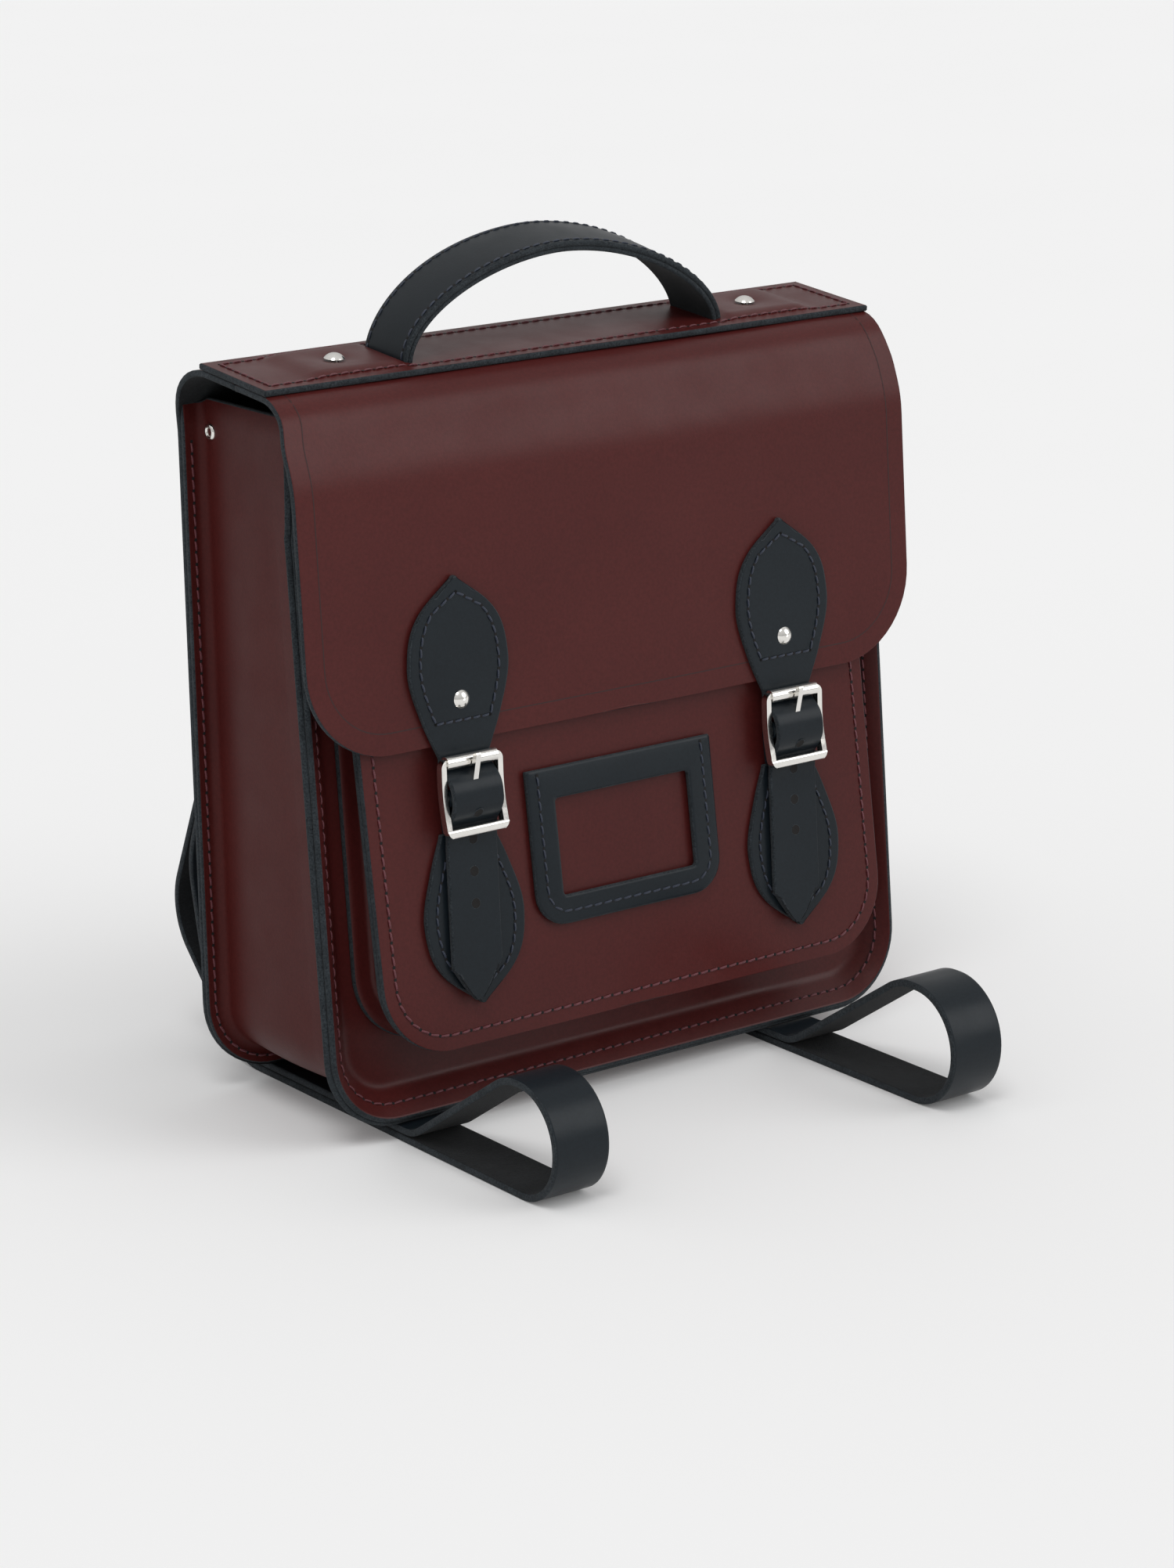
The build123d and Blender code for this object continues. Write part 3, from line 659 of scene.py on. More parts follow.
back_stations = np.r_[corner_stations(CORNER_R)[:-1], np.arange(CORNER_R, split_s, 3.5), split_s]
back_grid = main_sheet(back_stations, back_half, BACK_WAVES)
back_leather = leather(
    "back_leather", back_grid, LEATHER, None, burgundy, node=["back_panel", "top_panel"]
)
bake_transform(back_leather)
flap_corner = (flap_end - corner_stations(FLAP_CORNER_R))[::-1]
flap_stations = np.r_[np.arange(split_s + 0.4, flap_end - FLAP_CORNER_R, 3.0), flap_corner]
flap_grid = main_sheet(flap_stations, flap_half, FLAP_WAVES)
flap_leather = leather(
    "flap_leather", flap_grid, LEATHER, None, burgundy, node="flap_panel"
)
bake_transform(flap_leather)


def flap_crease_shade():
    """A thin dark strip of painted shade along the line pressed into the flap, a little inside its side
    and bottom edges.
    """
    low = flap_end - CREASE_INSET
    radius = FLAP_CORNER_R - CREASE_INSET
    wide = FLAP_HALF - CREASE_INSET
    side = np.arange(split_s + 14, low - radius, 3.0)
    heights = at(main_path, side)[:, 1]
    right = [(flap_half(s, float(z)) - CREASE_INSET, s) for s, z in zip(side, heights)]
    for a in np.linspace(0, math.pi / 2, 16):
        right.append((wide - radius + radius * math.cos(a), low - radius + radius * math.sin(a)))
    right = np.array(right)
    bottom = respace(np.array([right[-1], right[-1] * (-1, 1)]), 3.0)[1:-1]
    spots = respace(np.vstack([right, bottom, right[::-1] * (-1, 1)]), 3.0)
    rows = []
    for line in (shifted(spots, -0.2), shifted(spots, 0.2)):
        x, s = line.T
        half = np.array([flap_half(v, float(z)) for v, z in zip(s, at(main_path, s)[:, 1])])
        normal = np.stack([np.interp(s, main_length, main_out[:, k]) for k in (0, 1)], 1)
        lift = 0.04 + waves(x, s, FLAP_WAVES) * smooth_step((half - abs(x)) / 30)
        yz = at(main_path, s) + normal * lift[:, None]
        rows.append(np.column_stack([x, yz]))
    count = len(spots)
    faces = [(k, k + 1, count + k + 1, count + k) for k in range(count - 1)]
    return make("flap_crease_shade", np.vstack(rows), faces, [crease_shade], np.zeros(len(faces)), None)


crease = flap_crease_shade()
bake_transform(crease)


# ---- main gusset and front panel ---------------------------------------------------------
def rim_ring(inset, top=GUSSET_TOP):
    """The bag's outline in x and z, moved in from the rim."""
    return tub_ring(RIM_HALF - inset, BASE_Z + inset, top, CORNER_R - inset)


def gusset_grid():
    """Rows from the front lip, back along the wall and out into the back flange."""
    lip = rounded([(0.0, 3.11), (WALL_INSET, 12.11), (WALL_INSET, LIP_DEPTH)], [LIP_BEND], 1.2)
    rows = []
    for inset, depth in lip:
        ring = rim_ring(inset, LIP_TOP + (GUSSET_TOP - LIP_TOP) * float(smooth_step(inset / WALL_INSET)))
        rows.append(with_y(ring, rim_y(ring[:, 1], depth)))
    ring = rim_ring(WALL_INSET)
    front = rim_y(ring[:, 1], LIP_DEPTH)
    flange_y = BACK_Y - 2 * LEATHER
    behind = flange_y - FLANGE_BEND - 0.5
    calm = smooth_step((228 - ring[:, 1]) / 30)[:, None]
    for share in np.linspace(0, 1, 9)[1:]:
        wide = ring + (rim_ring(WALL_INSET - WALL_BULGE * math.sin(math.pi * share)) - ring) * calm
        rows.append(with_y(wide, front + (behind - front) * share))
    flange = rounded([(WALL_INSET, behind), (WALL_INSET, flange_y), (1.5, flange_y)], [FLANGE_BEND], 1.0)
    for inset, y in flange[1:]:
        ring = rim_ring(inset, GUSSET_TOP - 1.5 * float(smooth_step((y - behind) / FLANGE_BEND)))
        rows.append(with_y(ring, np.full(len(ring), y)))
    return np.array(rows)


leather("gusset_leather", gusset_grid(), LEATHER, "bag", shaded_wall_burgundy, node="gusset")


def front_panel_grid():
    """Rows from the panel's turned edge in to its flat middle."""
    lip = rounded([(3.18, 0.0), (12.18, 9.0), (40.0, 9.0)], [4.0], 1.2)
    keep = [p for p in lip if p[0] < 18] + [(30.0, 9.0), (45.0, 9.0), (65.0, 9.0), (88.0, 9.0)]
    rows = []
    for inset, depth in keep:
        ring = rim_ring(inset, LIP_TOP + (PANEL_TOP - LIP_TOP) * float(smooth_step(depth / 9.0)))
        rows.append(with_y(ring, rim_y(ring[:, 1], depth)))
    return np.array(rows)


leather(
    "front_leather",
    front_panel_grid(),
    LEATHER,
    "bag",
    burgundy,
    node="front_panel",
    cap=True,
    flip=True,
)


lip_ring = rim_ring(7.4, LIP_TOP - 3.0)
lip_line = with_y(lip_ring, rim_y(lip_ring[:, 1], 4.22))
inner_turn = np.stack([-np.gradient(lip_ring[:, 1]), np.gradient(lip_ring[:, 0])], 1)
inner_turn /= np.linalg.norm(inner_turn, axis=1, keepdims=True)
lip_normal = with_y(inner_turn * 0.7, np.full(len(lip_ring), -0.7))
stitches("rim_stitches", lip_line, lip_normal, "bag", burgundy_thread)

flange_ring = rim_ring(4.4, BACK_SEAM_TOP)
flange_line = with_y(flange_ring, np.full(len(flange_ring), BACK_Y - 2 * LEATHER))
inside = facing(len(flange_ring), (0, -1, 0))
stitches("back_flange_stitches", flange_line, inside, "bag", burgundy_thread)
back_ring = rim_ring(7.2, BACK_SEAM_TOP)
back_line = with_y(back_ring, np.full(len(back_ring), BACK_Y + 0.05))
outside = facing(len(back_ring), (0, 1, 0))
stitches("back_stitches", back_line, outside, "bag", burgundy_thread)


def eyelet_rings():
    """A domed metal ring round the hole near the top of each side wall, the hole closed by a dark disc of
    painted shade.
    """
    profile = [(3.0, 0.0), (2.9, 0.45), (2.5, 0.85), (2.0, 0.95), (1.6, 0.75), (1.4, 0.2)]
    profile += [(1.4, -1.5), (0.0, -1.5)]
    around = np.linspace(0, 2 * math.pi, 29)[:-1]
    count = len(around)
    points, faces, slots = [], [], []
    for sign in (-1, 1):
        first = len(points)
        for radius, height in profile:
            for a in around:
                x = sign * (RIM_HALF - WALL_INSET + height)
                points.append((x, EYELET[0] + radius * math.cos(a), EYELET[1] + radius * math.sin(a)))
        walls = ring_walls(first, len(profile), count)
        faces += walls if sign > 0 else [quad[::-1] for quad in walls]
        slots += [0] * (len(walls) - count) + [1] * count
    return make("gusset_eyelet_rings", points, faces, [nickel, hole_shade], slots, "bag")


eyelets = eyelet_rings()
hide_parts("gusset_eyelets")


# ---- front pocket ---------------------------------------------------------------------
def pocket_ring(inset, top=POCKET_TOP):
    """The pocket's outline in x and z, moved in from its edge."""
    return tub_ring(POCKET_HALF - inset, POCKET_Z + inset, top, POCKET_R - inset)


def pocket_gusset_grid():
    """Rows from the front flange's edge, in, back along the wall and out again."""
    rows = []
    front = rounded([(0.0, 4.4), (POCKET_INSET, 4.4), (POCKET_INSET, 8.0)], [2.2], 0.8)
    for inset, depth in front:
        ring = pocket_ring(inset)
        rows.append(with_y(ring, pocket_y(ring[:, 1], depth)))
    ring = pocket_ring(POCKET_INSET)
    near, far = pocket_y(ring[:, 1], 8.0), rim_y(ring[:, 1], POCKET_BACK - 2.4)
    rows.append(with_y(ring, np.maximum(near, near + (far - near) * 0.5)))
    rows.append(with_y(ring, np.maximum(near, far)))
    behind = [(POCKET_INSET - 0.7, POCKET_BACK - 0.7), (POCKET_INSET - 2.2, POCKET_BACK)]
    behind += [(3.0, POCKET_BACK), (0.0, POCKET_BACK)]
    for inset, depth in behind:
        ring = pocket_ring(inset)
        rows.append(with_y(ring, rim_y(ring[:, 1], depth)))
    return np.array(rows)


leather(
    "pocket_gusset_leather",
    pocket_gusset_grid(),
    LEATHER,
    "bag",
    burgundy,
    node="pocket_gusset",
)


def pocket_panel_grid():
    """Rows up the pocket's front from its round-cornered bottom."""
    slope = math.cos(math.atan(POCKET_LEAN))
    height = (POCKET_TOP - POCKET_Z) / slope
    rows = np.r_[corner_stations(POCKET_R)[:-1], np.linspace(POCKET_R, height, 26)]
    grid = []
    for s in rows:
        half = float(corner_half(s, POCKET_HALF, POCKET_R))
        edge = np.array([0, 0.8, 2.5, 6.0, 12.0])
        x = np.r_[-half + edge, np.linspace(-half + 20, half - 20, 16), (half - edge)[::-1]]
        y, z = on_pocket(s, 0.0)
        lift = waves(x, s, POCKET_WAVES) * smooth_step((half - abs(x)) / 25) * smooth_step(s / 25)
        grid.append(np.stack([x, y - lift, np.full(len(x), z)], 1))
    return np.array(grid)


leather(
    "pocket_leather",
    pocket_panel_grid(),
    LEATHER,
    "bag",
    burgundy,
    node="pocket_panel",
    flip=True,
)
seam_ring = pocket_ring(5.2, POCKET_TOP - 2)
seam_line = with_y(seam_ring, pocket_y(seam_ring[:, 1], -0.05))
seam_out = facing(len(seam_ring), pocket_out)
stitches("pocket_stitches", seam_line, seam_out, "bag", burgundy_thread)


# ---- card holder ------------------------------------------------------------------------
def loop_points(half, low, high, radius_low, radius_high, corner=8, side=14):
    """A closed round-cornered outline, from its top left corner down and round, in x and s."""
    points = []
    corners = [
        (-half + radius_high, high - radius_high, math.pi / 2, radius_high),
        (-half + radius_low, low + radius_low, math.pi, radius_low),
        (half - radius_low, low + radius_low, 1.5 * math.pi, radius_low),
        (half - radius_high, high - radius_high, 0.0, radius_high),
    ]
    for (x, s, start, radius), after in zip(corners, corners[1:] + corners[:1]):
        for a in np.linspace(start, start + math.pi / 2, corner):
            points.append((x + radius * math.cos(a), s + radius * math.sin(a)))
        begin = (after[0] + after[3] * math.cos(after[2]), after[1] + after[3] * math.sin(after[2]))
        points += [tuple(p) for p in np.linspace(points[-1], begin, side)[1:-1]]
    return np.array(points)


def on_plane(points, height):
    """Points given in x and s, laid height above the pocket's front."""
    rows = []
    for x, s in points:
        y, z = on_pocket(s, height)
        rows.append((x, y, z))
    return np.array(rows)


outer = loop_points(HOLDER_HALF, HOLDER_LOW_S, HOLDER_TOP_S, 12.0, 1.0)
window_half = HOLDER_HALF - HOLDER_BORDER
window_low = HOLDER_LOW_S + HOLDER_BORDER - 1
window = loop_points(window_half, window_low, HOLDER_TOP_S - HOLDER_BORDER, 1.5, 1.5)
for points in (outer, window):
    points[:, 0] += HOLDER_X
# Share of the way from the outer edge to the window, and the height above the pocket.
holder_rise = [(0.0, 2.3), (0.12, 2.55), (0.35, 2.7), (0.6, 2.95), (0.88, 3.0), (1.0, 3.0)]
holder_grid = np.array([on_plane(outer + (window - outer) * share, rise) for share, rise in holder_rise])
leather(
    "card_holder_leather",
    holder_grid,
    LEATHER,
    "bag",
    navy,
    closed=True,
    flip=True,
    node="card_holder",
)
seam = tub_ring(HOLDER_HALF - 4.6, HOLDER_LOW_S + 4.6, HOLDER_TOP_S - 2, 8.0, 8, 12, 12)
seam[:, 0] += HOLDER_X
seam_out = facing(len(seam), pocket_out)
stitches("card_holder_stitches", on_plane(seam, 2.72), seam_out, "bag", navy_thread)


# ---- closures ---------------------------------------------------------------------------
def leaf_half(share, neck):
    """Half-width of a leaf from its tip, 0, to its neck, 1."""
    shape = through(LEAF_KNOTS, [0.0, 0.66, 1.0, 0.78, neck / LEAF_HALF], np.clip(share, 0, 1))
    return np.maximum(LEAF_HALF * shape, THINNEST)


def wave(low_s, low_h):
    """A strap's way down over its buckle's bars to low_s, as distance up and height out."""
    return [(98.0, 3.0), (91.0, 9.6), (84.0, 9.6), (78.0, 3.75), (70.0, low_h), (low_s, low_h)]


flap_lean = (FLAP_KNEE[0] - FLAP_LOW[0]) / (FLAP_KNEE[1] - FLAP_LOW[1])
flap_out = unit((0, -1, flap_lean))
leaf_tip = FLAP_LOW[1] + LEAF_RISE
leaf_neck = FLAP_LOW[1] - NECK_DROP
strap_end = on_pocket(STRAP_TIP_S, 0)[1]


def flap_point(s):
    """Y and Z of a point s above the flap's lower edge, on its grain side."""
    slope = math.atan(flap_lean)
    return (FLAP_LOW[0] + s * math.sin(slope), FLAP_LOW[1] + s * math.cos(slope))


def closure_path():
    """Grain side of a closure from its leaf's tip down the flap and over its buckle."""
    points = [flap_point(LEAF_RISE), flap_point(0)] + [on_pocket(s, h) for s, h in wave(STRAP_TIP_S, 2.8)]
    return shifted(rounded(points, [20.0] + WAVE_RADII, 0.8), -LEATHER)


def drift(z):
    """Sideways run of the strap's loose tail."""
    return -np.maximum(0.0, 106.0 - z) * STRAP_DRIFT


def closure_half(z):
    """Half-width of a closure at height z: leaf, strap, then the pointed end."""
    if z > leaf_neck:
        return float(leaf_half((leaf_tip - z) / (leaf_tip - leaf_neck), STRAP_HALF))
    if z <= strap_end:
        return THINNEST
    return max(THINNEST, min(STRAP_HALF, STRAP_HALF * ((z - strap_end) / STRAP_POINT) ** 0.8))


def crossed(x, y, z, half):
    """A row of points across a strap, closer together near its edges."""
    across = half * np.sin(np.linspace(-math.pi / 2, math.pi / 2, 11))
    return np.stack([x + across, np.full(11, y), np.full(11, z)], 1)


def seam_half(halves, from_tip):
    """Half-width of a leaf's seam, which closes to a point near the tip."""
    return np.maximum(np.array(halves) - LEAF_SEAM, 0) * np.clip(from_tip / 6, 0, 1) ** 0.5


def punched(name, spots, body):
    """Round punched holes: a soft rim round a dark dish of painted shade, as the hole is not cut, on
    (place, out) spots.
    """
    points, faces, slots = [], [], []
    around = np.linspace(0, 2 * math.pi, 19)[:-1]
    for mark, out in spots:
        up = unit(out)
        side = unit(np.cross(up, (1, 0.01, 0)))
        third = np.cross(up, side)
        first = len(points)
        for height, radius in ((-0.05, 2.1), (0.10, 1.75), (0.06, 1.5), (0.03, 0.01)):
            for a in around:
                points.append(mark + up * height + (side * math.cos(a) + third * math.sin(a)) * radius)
        faces += ring_walls(first, 4, 18)
        slots += [0] * 18 + [1] * 36
    piece = make(name, points, faces, [raw_edge, hole_shade], slots, body)
    return piece


def hole_spots(x, yz):
    """Place and outward direction of each punched hole along a strap."""
    spots = []
    for s in HOLE_S:
        height = on_pocket(s, 5.0)[1]
        k = int(np.argmin(abs(yz[:, 1] - height)))
        tangent = unit(yz[min(k + 1, len(yz) - 1)] - yz[k - 1])
        mark = np.array([x + drift(yz[k, 1]), yz[k, 0], yz[k, 1]])
        spots.append((mark, (0, tangent[1], -tangent[0])))
    return spots


def leaf_seams(side, x):
    """Stitches up both sides of a leaf and across under its rivet."""
    rise = np.linspace(LEAF_RISE - LEAF_SEAM_TIP, 8.0, 30)
    shares = [(leaf_tip - flap_point(s)[1]) / (leaf_tip - leaf_neck) for s in rise]
    half = seam_half([float(leaf_half(share, STRAP_HALF)) for share in shares], rise[0] - rise)
    left = [(x - h, *flap_point(s)) for s, h in zip(rise, half)]
    right = [(x + h, *flap_point(s)) for s, h in zip(rise, half)]
    for number, run in enumerate((left[::-1], [left[-1], right[-1]], right)):
        line = respace(np.array(run), 3.0) + flap_out * (LEATHER + 0.05)
        out = facing(len(line), flap_out)
        name = f"leaf_stitches_{side}_{number}"
        stitches(name, line, out, "flap", navy_thread, pitch=LEAF_PITCH)


def lower_tab(side, x):
    """The leaf on the pocket under a strap's tail, with a seam up each side."""
    tall = TAB_TOP_S - TAB_TIP_S
    tab = []
    for s in np.linspace(TAB_TIP_S, TAB_TOP_S, 44):
        half = float(leaf_half((s - TAB_TIP_S) / tall, STRAP_HALF + 0.4))
        tab.append(crossed(x, *on_pocket(s, LEATHER), half))
    name, node = f"lower_tab_leather_{side}", f"lower_tab_{side}"
    leather(name, np.array(tab), LEATHER, "bag", navy, node=node, flip=True)
    rise = np.linspace(TAB_TIP_S + LEAF_SEAM_TIP, TAB_TOP_S - 2, 30)
    half = seam_half([float(leaf_half((s - TAB_TIP_S) / tall, STRAP_HALF)) for s in rise], rise - rise[0])
    for number, sign in enumerate((-1, 1)):
        line = np.array([(x + sign * h, *on_pocket(s, LEATHER + 0.05)) for s, h in zip(rise, half)])
        out = facing(len(line), pocket_out)
        name = f"lower_tab_stitches_{side}_{number}"
        stitches(name, line, out, "bag", navy_thread, pitch=LEAF_PITCH)


closure_line = closure_path()
closure_yz = at(closure_line, np.linspace(0, lengths(closure_line)[-1], 150))
for side, x in (("left", -CLOSURE_X), ("right", CLOSURE_X)):
    grid = np.array([crossed(x + drift(z), y, z, closure_half(z)) for y, z in closure_yz])
    name, node = f"closure_leather_{side}", f"closure_strap_{side}"
    leather(name, grid, LEATHER, "flap", navy, node=node)
    leaf_seams(side, x)
    lower_tab(side, x)
    punched(f"strap_holes_{side}", hole_spots(x, closure_yz), "flap")


# ---- top strip and handle ----------------------------------------------------------------
top_slope = math.atan((TOP_BACK_Z - TOP_FRONT[1]) / (BACK_Y - TOP_FRONT[0]))


def on_top(u, h):
    """Y and Z of a point u forward of the strip's back edge and h above the leather."""
    y = STRIP_BACK_Y - u * math.cos(top_slope)
    z = TOP_BACK_Z - (BACK_Y - y) * math.tan(top_slope)
    return y - h * math.sin(top_slope), z + h * math.cos(top_slope)


def strip_rise(x, u):
    """Height of the strip where it covers the handle's tabs, with a dimple at each rivet."""
    over = smooth_step((abs(x) - HANDLE_X + 2) / 5) * smooth_step((HANDLE_X + TAB_LENGTH + 8 - abs(x)) / 9)
    middle = STRIP_BACK_Y - HANDLE_Y
    over = over * smooth_step((HANDLE_WIDTH / 2 + 5.5 - abs(u - middle)) / 5.5)
    dimple = np.exp(-((abs(x) - RIVET_X) ** 2 + (u - middle) ** 2) / 30.0)
    return 1.9 * over - 1.5 * dimple


def strip_grid():
    """Rows forward over the strip, from its back edge."""
    edge = np.array([0, 0.8, 2.0])
    rows_u = np.r_[edge, np.linspace(4, STRIP_DEPTH - 4, 18), (STRIP_DEPTH - edge)[::-1]]
    ends = STRIP_HALF - np.array([0, 0.8])
    x = np.r_[-ends, np.linspace(-STRIP_HALF + 3, STRIP_HALF - 3, 110), ends[::-1]]
    rows = []
    for u in rows_u:
        y, z = on_top(u, LEATHER + strip_rise(x, u) + 0.05)
        rows.append(np.stack([x, y, z], 1))
    return np.array(rows)


leather("top_strip_leather", strip_grid(), LEATHER, "top", burgundy, node="top_strip")
seam_x, seam_u = STRIP_HALF - STRIP_SEAM, STRIP_DEPTH - STRIP_SEAM
seam = np.array([(-seam_x, STRIP_SEAM), (seam_x, STRIP_SEAM), (seam_x, seam_u), (-seam_x, seam_u)])
top_out = np.array([0, -math.sin(top_slope), math.cos(top_slope)])
for number in range(4):
    line = []
    for x, u in respace(np.array([seam[number], seam[(number + 1) % 4]]), 2.0):
        y, z = on_top(u, LEATHER + 0.1 + float(strip_rise(np.array(x), u)))
        line.append((x, float(y), float(z)))
    out = np.tile(top_out, (len(line), 1))
    name = f"top_strip_stitches_{number}"
    stitches(name, np.array(line), out, "top", burgundy_thread, pitch=STRIP_PITCH)


def handle_grid():
    """Rows over the handle's arch, its outer face slightly crowned and rolled back."""
    power = 2 / HANDLE_ARCH
    arc = []
    for a in np.linspace(0, math.pi, 73):
        x = -HANDLE_X * math.copysign(abs(math.cos(a)) ** power, math.cos(a))
        arc.append((x, HANDLE_BASE_Z + HANDLE_RISE * math.sin(a) ** power))
    arc = respace(np.array([(arc[0][0], HANDLE_ROOT_Z), *arc, (arc[-1][0], HANDLE_ROOT_Z)]), 2.0)
    share = np.array([-1, -0.93, -0.75, -0.4, 0, 0.4, 0.75, 0.93, 1])
    across = HANDLE_WIDTH / 2 * share
    crown = 0.5 * (1 - share**2)
    rows = []
    for x, z in arc:
        roll = HANDLE_ROLL * smooth_step((z - 262) / 38)
        y = HANDLE_Y + across * math.cos(roll)
        rows.append(np.stack([np.full(9, x), y, z + across * roll + crown - HANDLE_SINK], 1))
    return np.array(rows)


handle_rows = handle_grid()
leather("handle_leather", handle_rows, HANDLE_THICK / 2, "top", navy, node="handle")
handle_normal = normals_of(handle_rows)
lining_rows = handle_rows - handle_normal * (HANDLE_THICK / 2 + 0.02)
leather("handle_lining", lining_rows, HANDLE_THICK / 2 - 0.1, "top", flesh)
for number, (column, inner) in enumerate(((1, 2), (7, 6))):
    line = (handle_rows[3:-3, column] + handle_rows[3:-3, inner]) / 2
    out = handle_normal[3:-3, column]
    stitches(f"handle_stitches_{number}", line, out, "top", navy_thread)


# ---- shoulder straps -----------------------------------------------------------------------
def shoulder_path(side):
    """Grain side of one strap, from its anchor down, under, round the loop and up to its buckle."""
    front, height = FRONT_LOOP[side], LOOP_HEIGHT[side]
    outer = BACK_Y + SHOULDER_THICK
    crest = front + 0.70 * height
    loop_r = height / 2 - 0.1
    points = [(outer, 236.0), (outer, 184.0), (130.0, 47.0), (84.0, 0.0)]
    points += [(front, 0.0), (front, height), (crest, height)]
    points += [(crest + (height - BASE_Z) / LOOP_SLOPE, BASE_Z), (83.0, BASE_Z)]
    points += [(105.0, 31.5), (112.5, 70.0), (100.5, ARCH[1]), ARCH]
    radii = [60.0, 25.0, 30.0, loop_r, loop_r, 22.0, 16.0, 24.7, 40.0, 30.0, 12.0]
    down = [(ADJUSTER[0] + h, ADJUSTER[1] + s) for s, h in wave(56.0, 3.5)]
    first, top = ADJUSTER[0] + 3.4, ARCH[1] + SHOULDER_THICK
    end = rounded([(ARCH[0], top), (first, top)] + down, [16.0] + WAVE_RADII, 1.0)
    return np.vstack([rounded(points, radii, 2.0)[:-1], shifted(end, SHOULDER_THICK)[1:]])


def shoulder_grid(x, path):
    """Rows along a strap, narrower where it passes its buckle."""
    along = lengths(path)
    share = np.array([-1, -0.9, -0.6, 0, 0.6, 0.9, 1])
    grid = []
    for (y, z), left in zip(path, along[-1] - along):
        half = SHOULDER_WIDTH / 2 - 0.8 * float(smooth_step((60 - left) / 20))
        half = half * (1 - 0.35 * float(smooth_step((6 - left) / 6)))
        grid.append(np.stack([x + half * share, np.full(7, y), np.full(7, z)], 1))
    return np.array(grid)


def anchor_grid(x):
    """Rows up the round-cornered patch that holds a strap to the back."""
    low = corner_stations(ANCHOR_CORNER, 7)
    sides = np.linspace(ANCHOR_CORNER, ANCHOR_HEIGHT - ANCHOR_CORNER, 8)[1:]
    share = np.array([-1, -0.93, -0.7, 0, 0.7, 0.93, 1])
    grid = []
    for s in np.r_[low, sides, ANCHOR_HEIGHT - low[::-1][1:]]:
        across = share * float(corner_half(min(s, ANCHOR_HEIGHT - s), ANCHOR_HALF, ANCHOR_CORNER))
        grid.append(np.stack([x + across, np.full(7, anchor_y), np.full(7, ANCHOR_Z + s)], 1))
    return np.array(grid)


anchor_y = BACK_Y + SHOULDER_THICK + ANCHOR_THICK
for side, x in SHOULDER_X.items():
    grid = shoulder_grid(x, shoulder_path(side))
    name, node = f"shoulder_strap_leather_{side}", f"shoulder_strap_{side}"
    leather(name, grid, SHOULDER_THICK, "bag", navy, flip=True, node=node)
    name, node = f"anchor_leather_{side}", f"strap_anchor_{side}"
    leather(name, anchor_grid(x), ANCHOR_THICK, "bag", navy, node=node)
    ring = loop_points(12.5, 202.0, 233.0, 3.0, 3.0, 5, 8)
    ring = np.vstack([ring, ring[:1]]) + (x, 0)
    line = with_y(ring, np.full(len(ring), anchor_y + 0.05))
    out = facing(len(line), (0, 1, 0))
    stitches(f"anchor_stitches_{side}", line, out, "bag", navy_thread)


# ---- CAD pieces that stay: metal fittings and hidden leather ---------------------------------
def dress(node, material):
    """Gives a CAD node its finish and a soft edge, without changing its shape."""
    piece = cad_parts[node]
    piece.data.materials.clear()
    piece.data.materials.append(material)
    edge = piece.modifiers.new("soft_edge", "BEVEL")
    edge.width = 0.35 * MM
    edge.segments = 2
    edge.limit_method = "ANGLE"
    edge.angle_limit = math.radians(40)
    piece.data.polygons.foreach_set("use_smooth", np.ones(len(piece.data.polygons), bool))


FITTINGS = ("buckle_frame", "buckle_roller", "buckle_prong")
FITTINGS += ("adjuster_frame", "adjuster_roller", "adjuster_prong")
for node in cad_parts:
    if node.startswith(FITTINGS) or node.endswith("rivets"):
        dress(node, nickel)
    elif node.startswith("snap"):
        dress(node, snap_steel)
    elif "chape" in node:
        dress(node, navy)


# ---- floor, light and camera ------------------------------------------------------------------
def add_light(name, kind, place, energy):
    """A lamp at a place in metres, aimed at the middle of the bag."""
    data = bpy.data.lights.new(name, kind)
    data.energy = energy
    light = bpy.data.objects.new(name, data)
    light.location = place
    light.rotation_mode = "QUATERNION"
    light.rotation_quaternion = (Vector((0, 0, 0.12)) - Vector(place)).to_track_quat("-Z", "Y")
    bpy.context.scene.collection.objects.link(light)
    return data


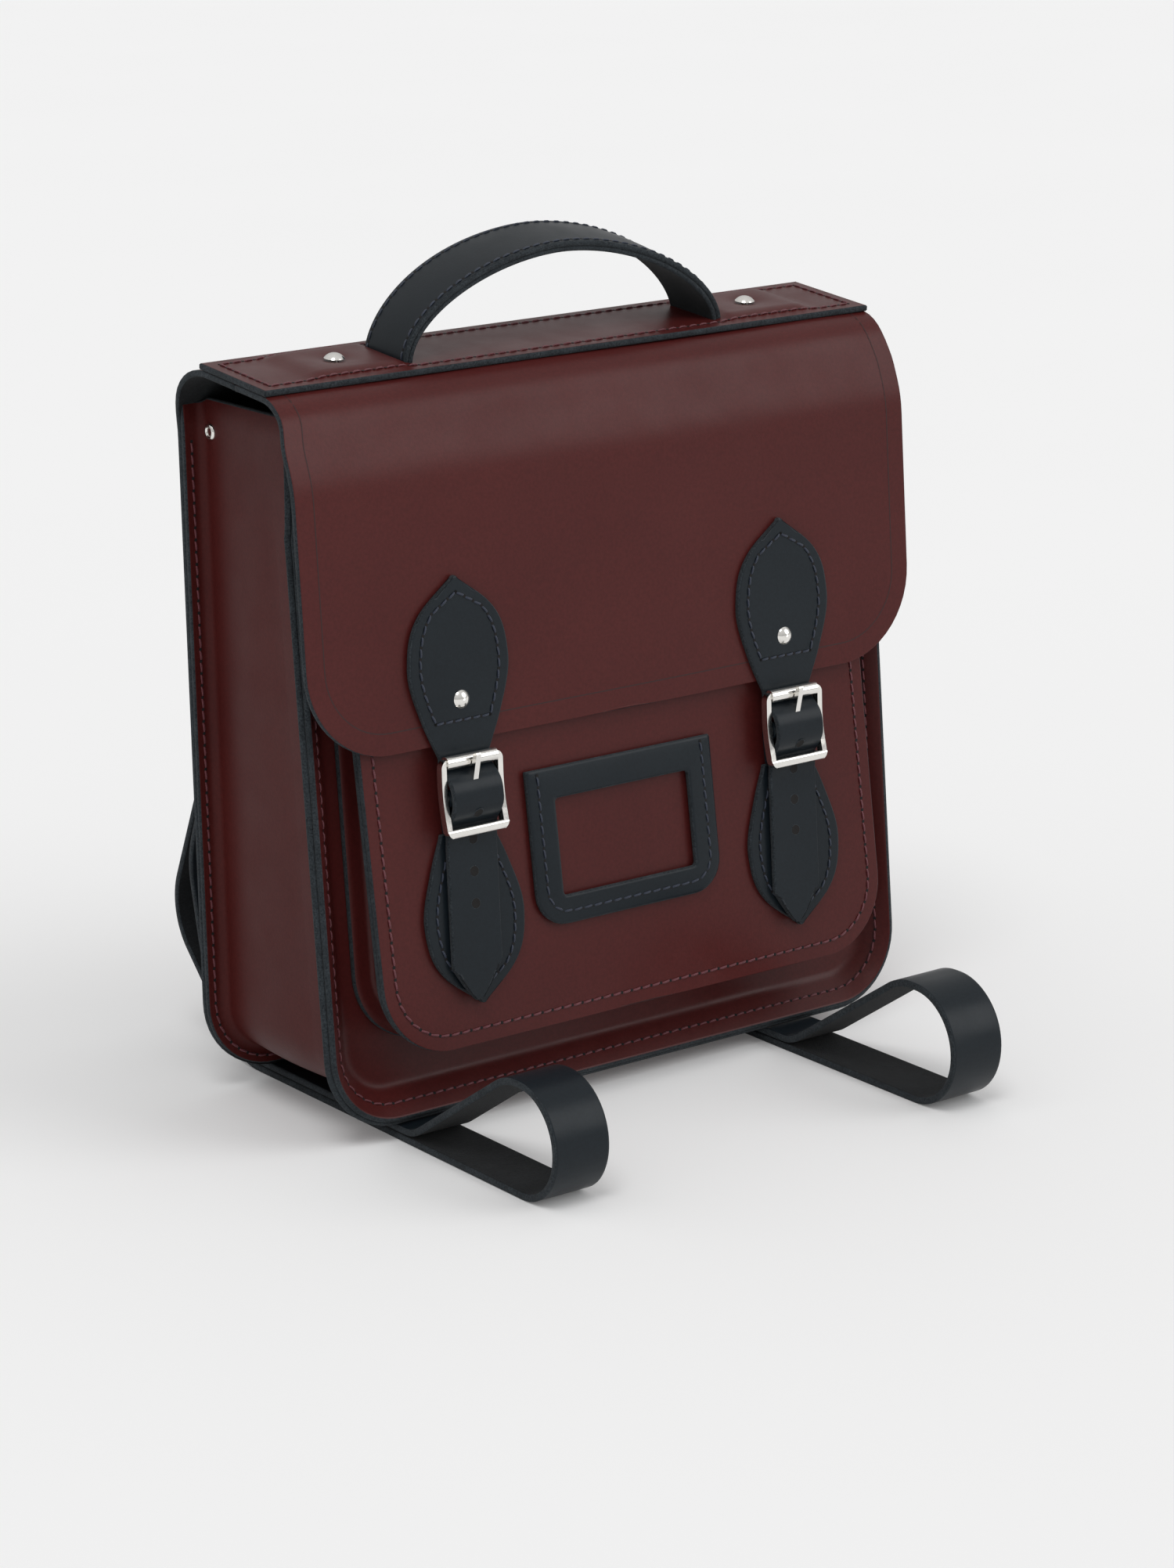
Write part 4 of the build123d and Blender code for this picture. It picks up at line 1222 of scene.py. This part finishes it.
floor_material, floor_tree, floor_shader, floor_place = new_material("pale_floor")
tint = ramp(floor_tree, noise(floor_tree, floor_place, 3, 2), [(0.3, (0.868,) * 3), (0.7, (0.874,) * 3)])
floor_tree.links.new(tint, floor_shader.inputs["Base Color"])
floor_shader.inputs["Roughness"].default_value = 0.9
floor_shader.inputs["Specular IOR Level"].default_value = 0.0
floor_shader.inputs["Emission Color"].default_value = (1, 1, 1, 1)
floor_shader.inputs["Emission Strength"].default_value = 0.06
FLOOR_HALF = 60000.0
floor_corners = [(a * FLOOR_HALF, b * FLOOR_HALF, 0) for a, b in ((-1, -1), (1, -1), (1, 1), (-1, 1))]
floor = make("floor", floor_corners, [(0, 1, 2, 3)], [floor_material], [0], None, False)

world = bpy.data.worlds.new("studio")
world.use_nodes = True
sky = world.node_tree
direction = sky.nodes.new("ShaderNodeTexCoord").outputs["Generated"]
height = sky.nodes.new("ShaderNodeSeparateXYZ")
sky.links.new(direction, height.inputs[0])
shade = ramp(sky, height.outputs["Z"], [(0.0, (0.60,) * 3), (0.30, (0.80,) * 3), (1.0, (1.0,) * 3)])
sky.links.new(shade, sky.nodes["Background"].inputs["Color"])
sky.nodes["Background"].inputs["Strength"].default_value = 0.70
bpy.context.scene.world = world
bpy.context.scene.view_settings.view_transform = "Standard"
add_light("left_key", "SUN", (-0.55, -0.50, 1.6), 0.68).angle = math.radians(24)
add_light("right_key", "SUN", (0.60, -0.66, 0.62), 0.80).angle = math.radians(42)

camera_data = bpy.data.cameras.new("camera")
camera_data.sensor_width = 36.0
camera_data.lens = 98.6
camera = bpy.data.objects.new("camera", camera_data)
azimuth, elevation, roll = (math.radians(a) for a in (-35.94, 15.65, -1.05))
level = math.cos(elevation)
forward = Vector((-math.sin(azimuth) * level, math.cos(azimuth) * level, -math.sin(elevation)))
camera.location = (-0.8620, -1.1883, 0.5167)
turned = forward.to_track_quat("-Z", "Y").to_matrix()
side_axis = Vector((turned[0][0], turned[1][0], turned[2][0]))
up_axis = Vector((turned[0][1], turned[1][1], turned[2][1]))
right = side_axis * math.cos(roll) + up_axis * math.sin(roll)
up = up_axis * math.cos(roll) - side_axis * math.sin(roll)
for k in range(3):
    turned[k][0], turned[k][1], turned[k][2] = right[k], up[k], -forward[k]
camera.rotation_mode = "QUATERNION"
camera.rotation_quaternion = turned.to_quaternion()
bpy.context.scene.collection.objects.link(camera)
bpy.context.scene.camera = camera
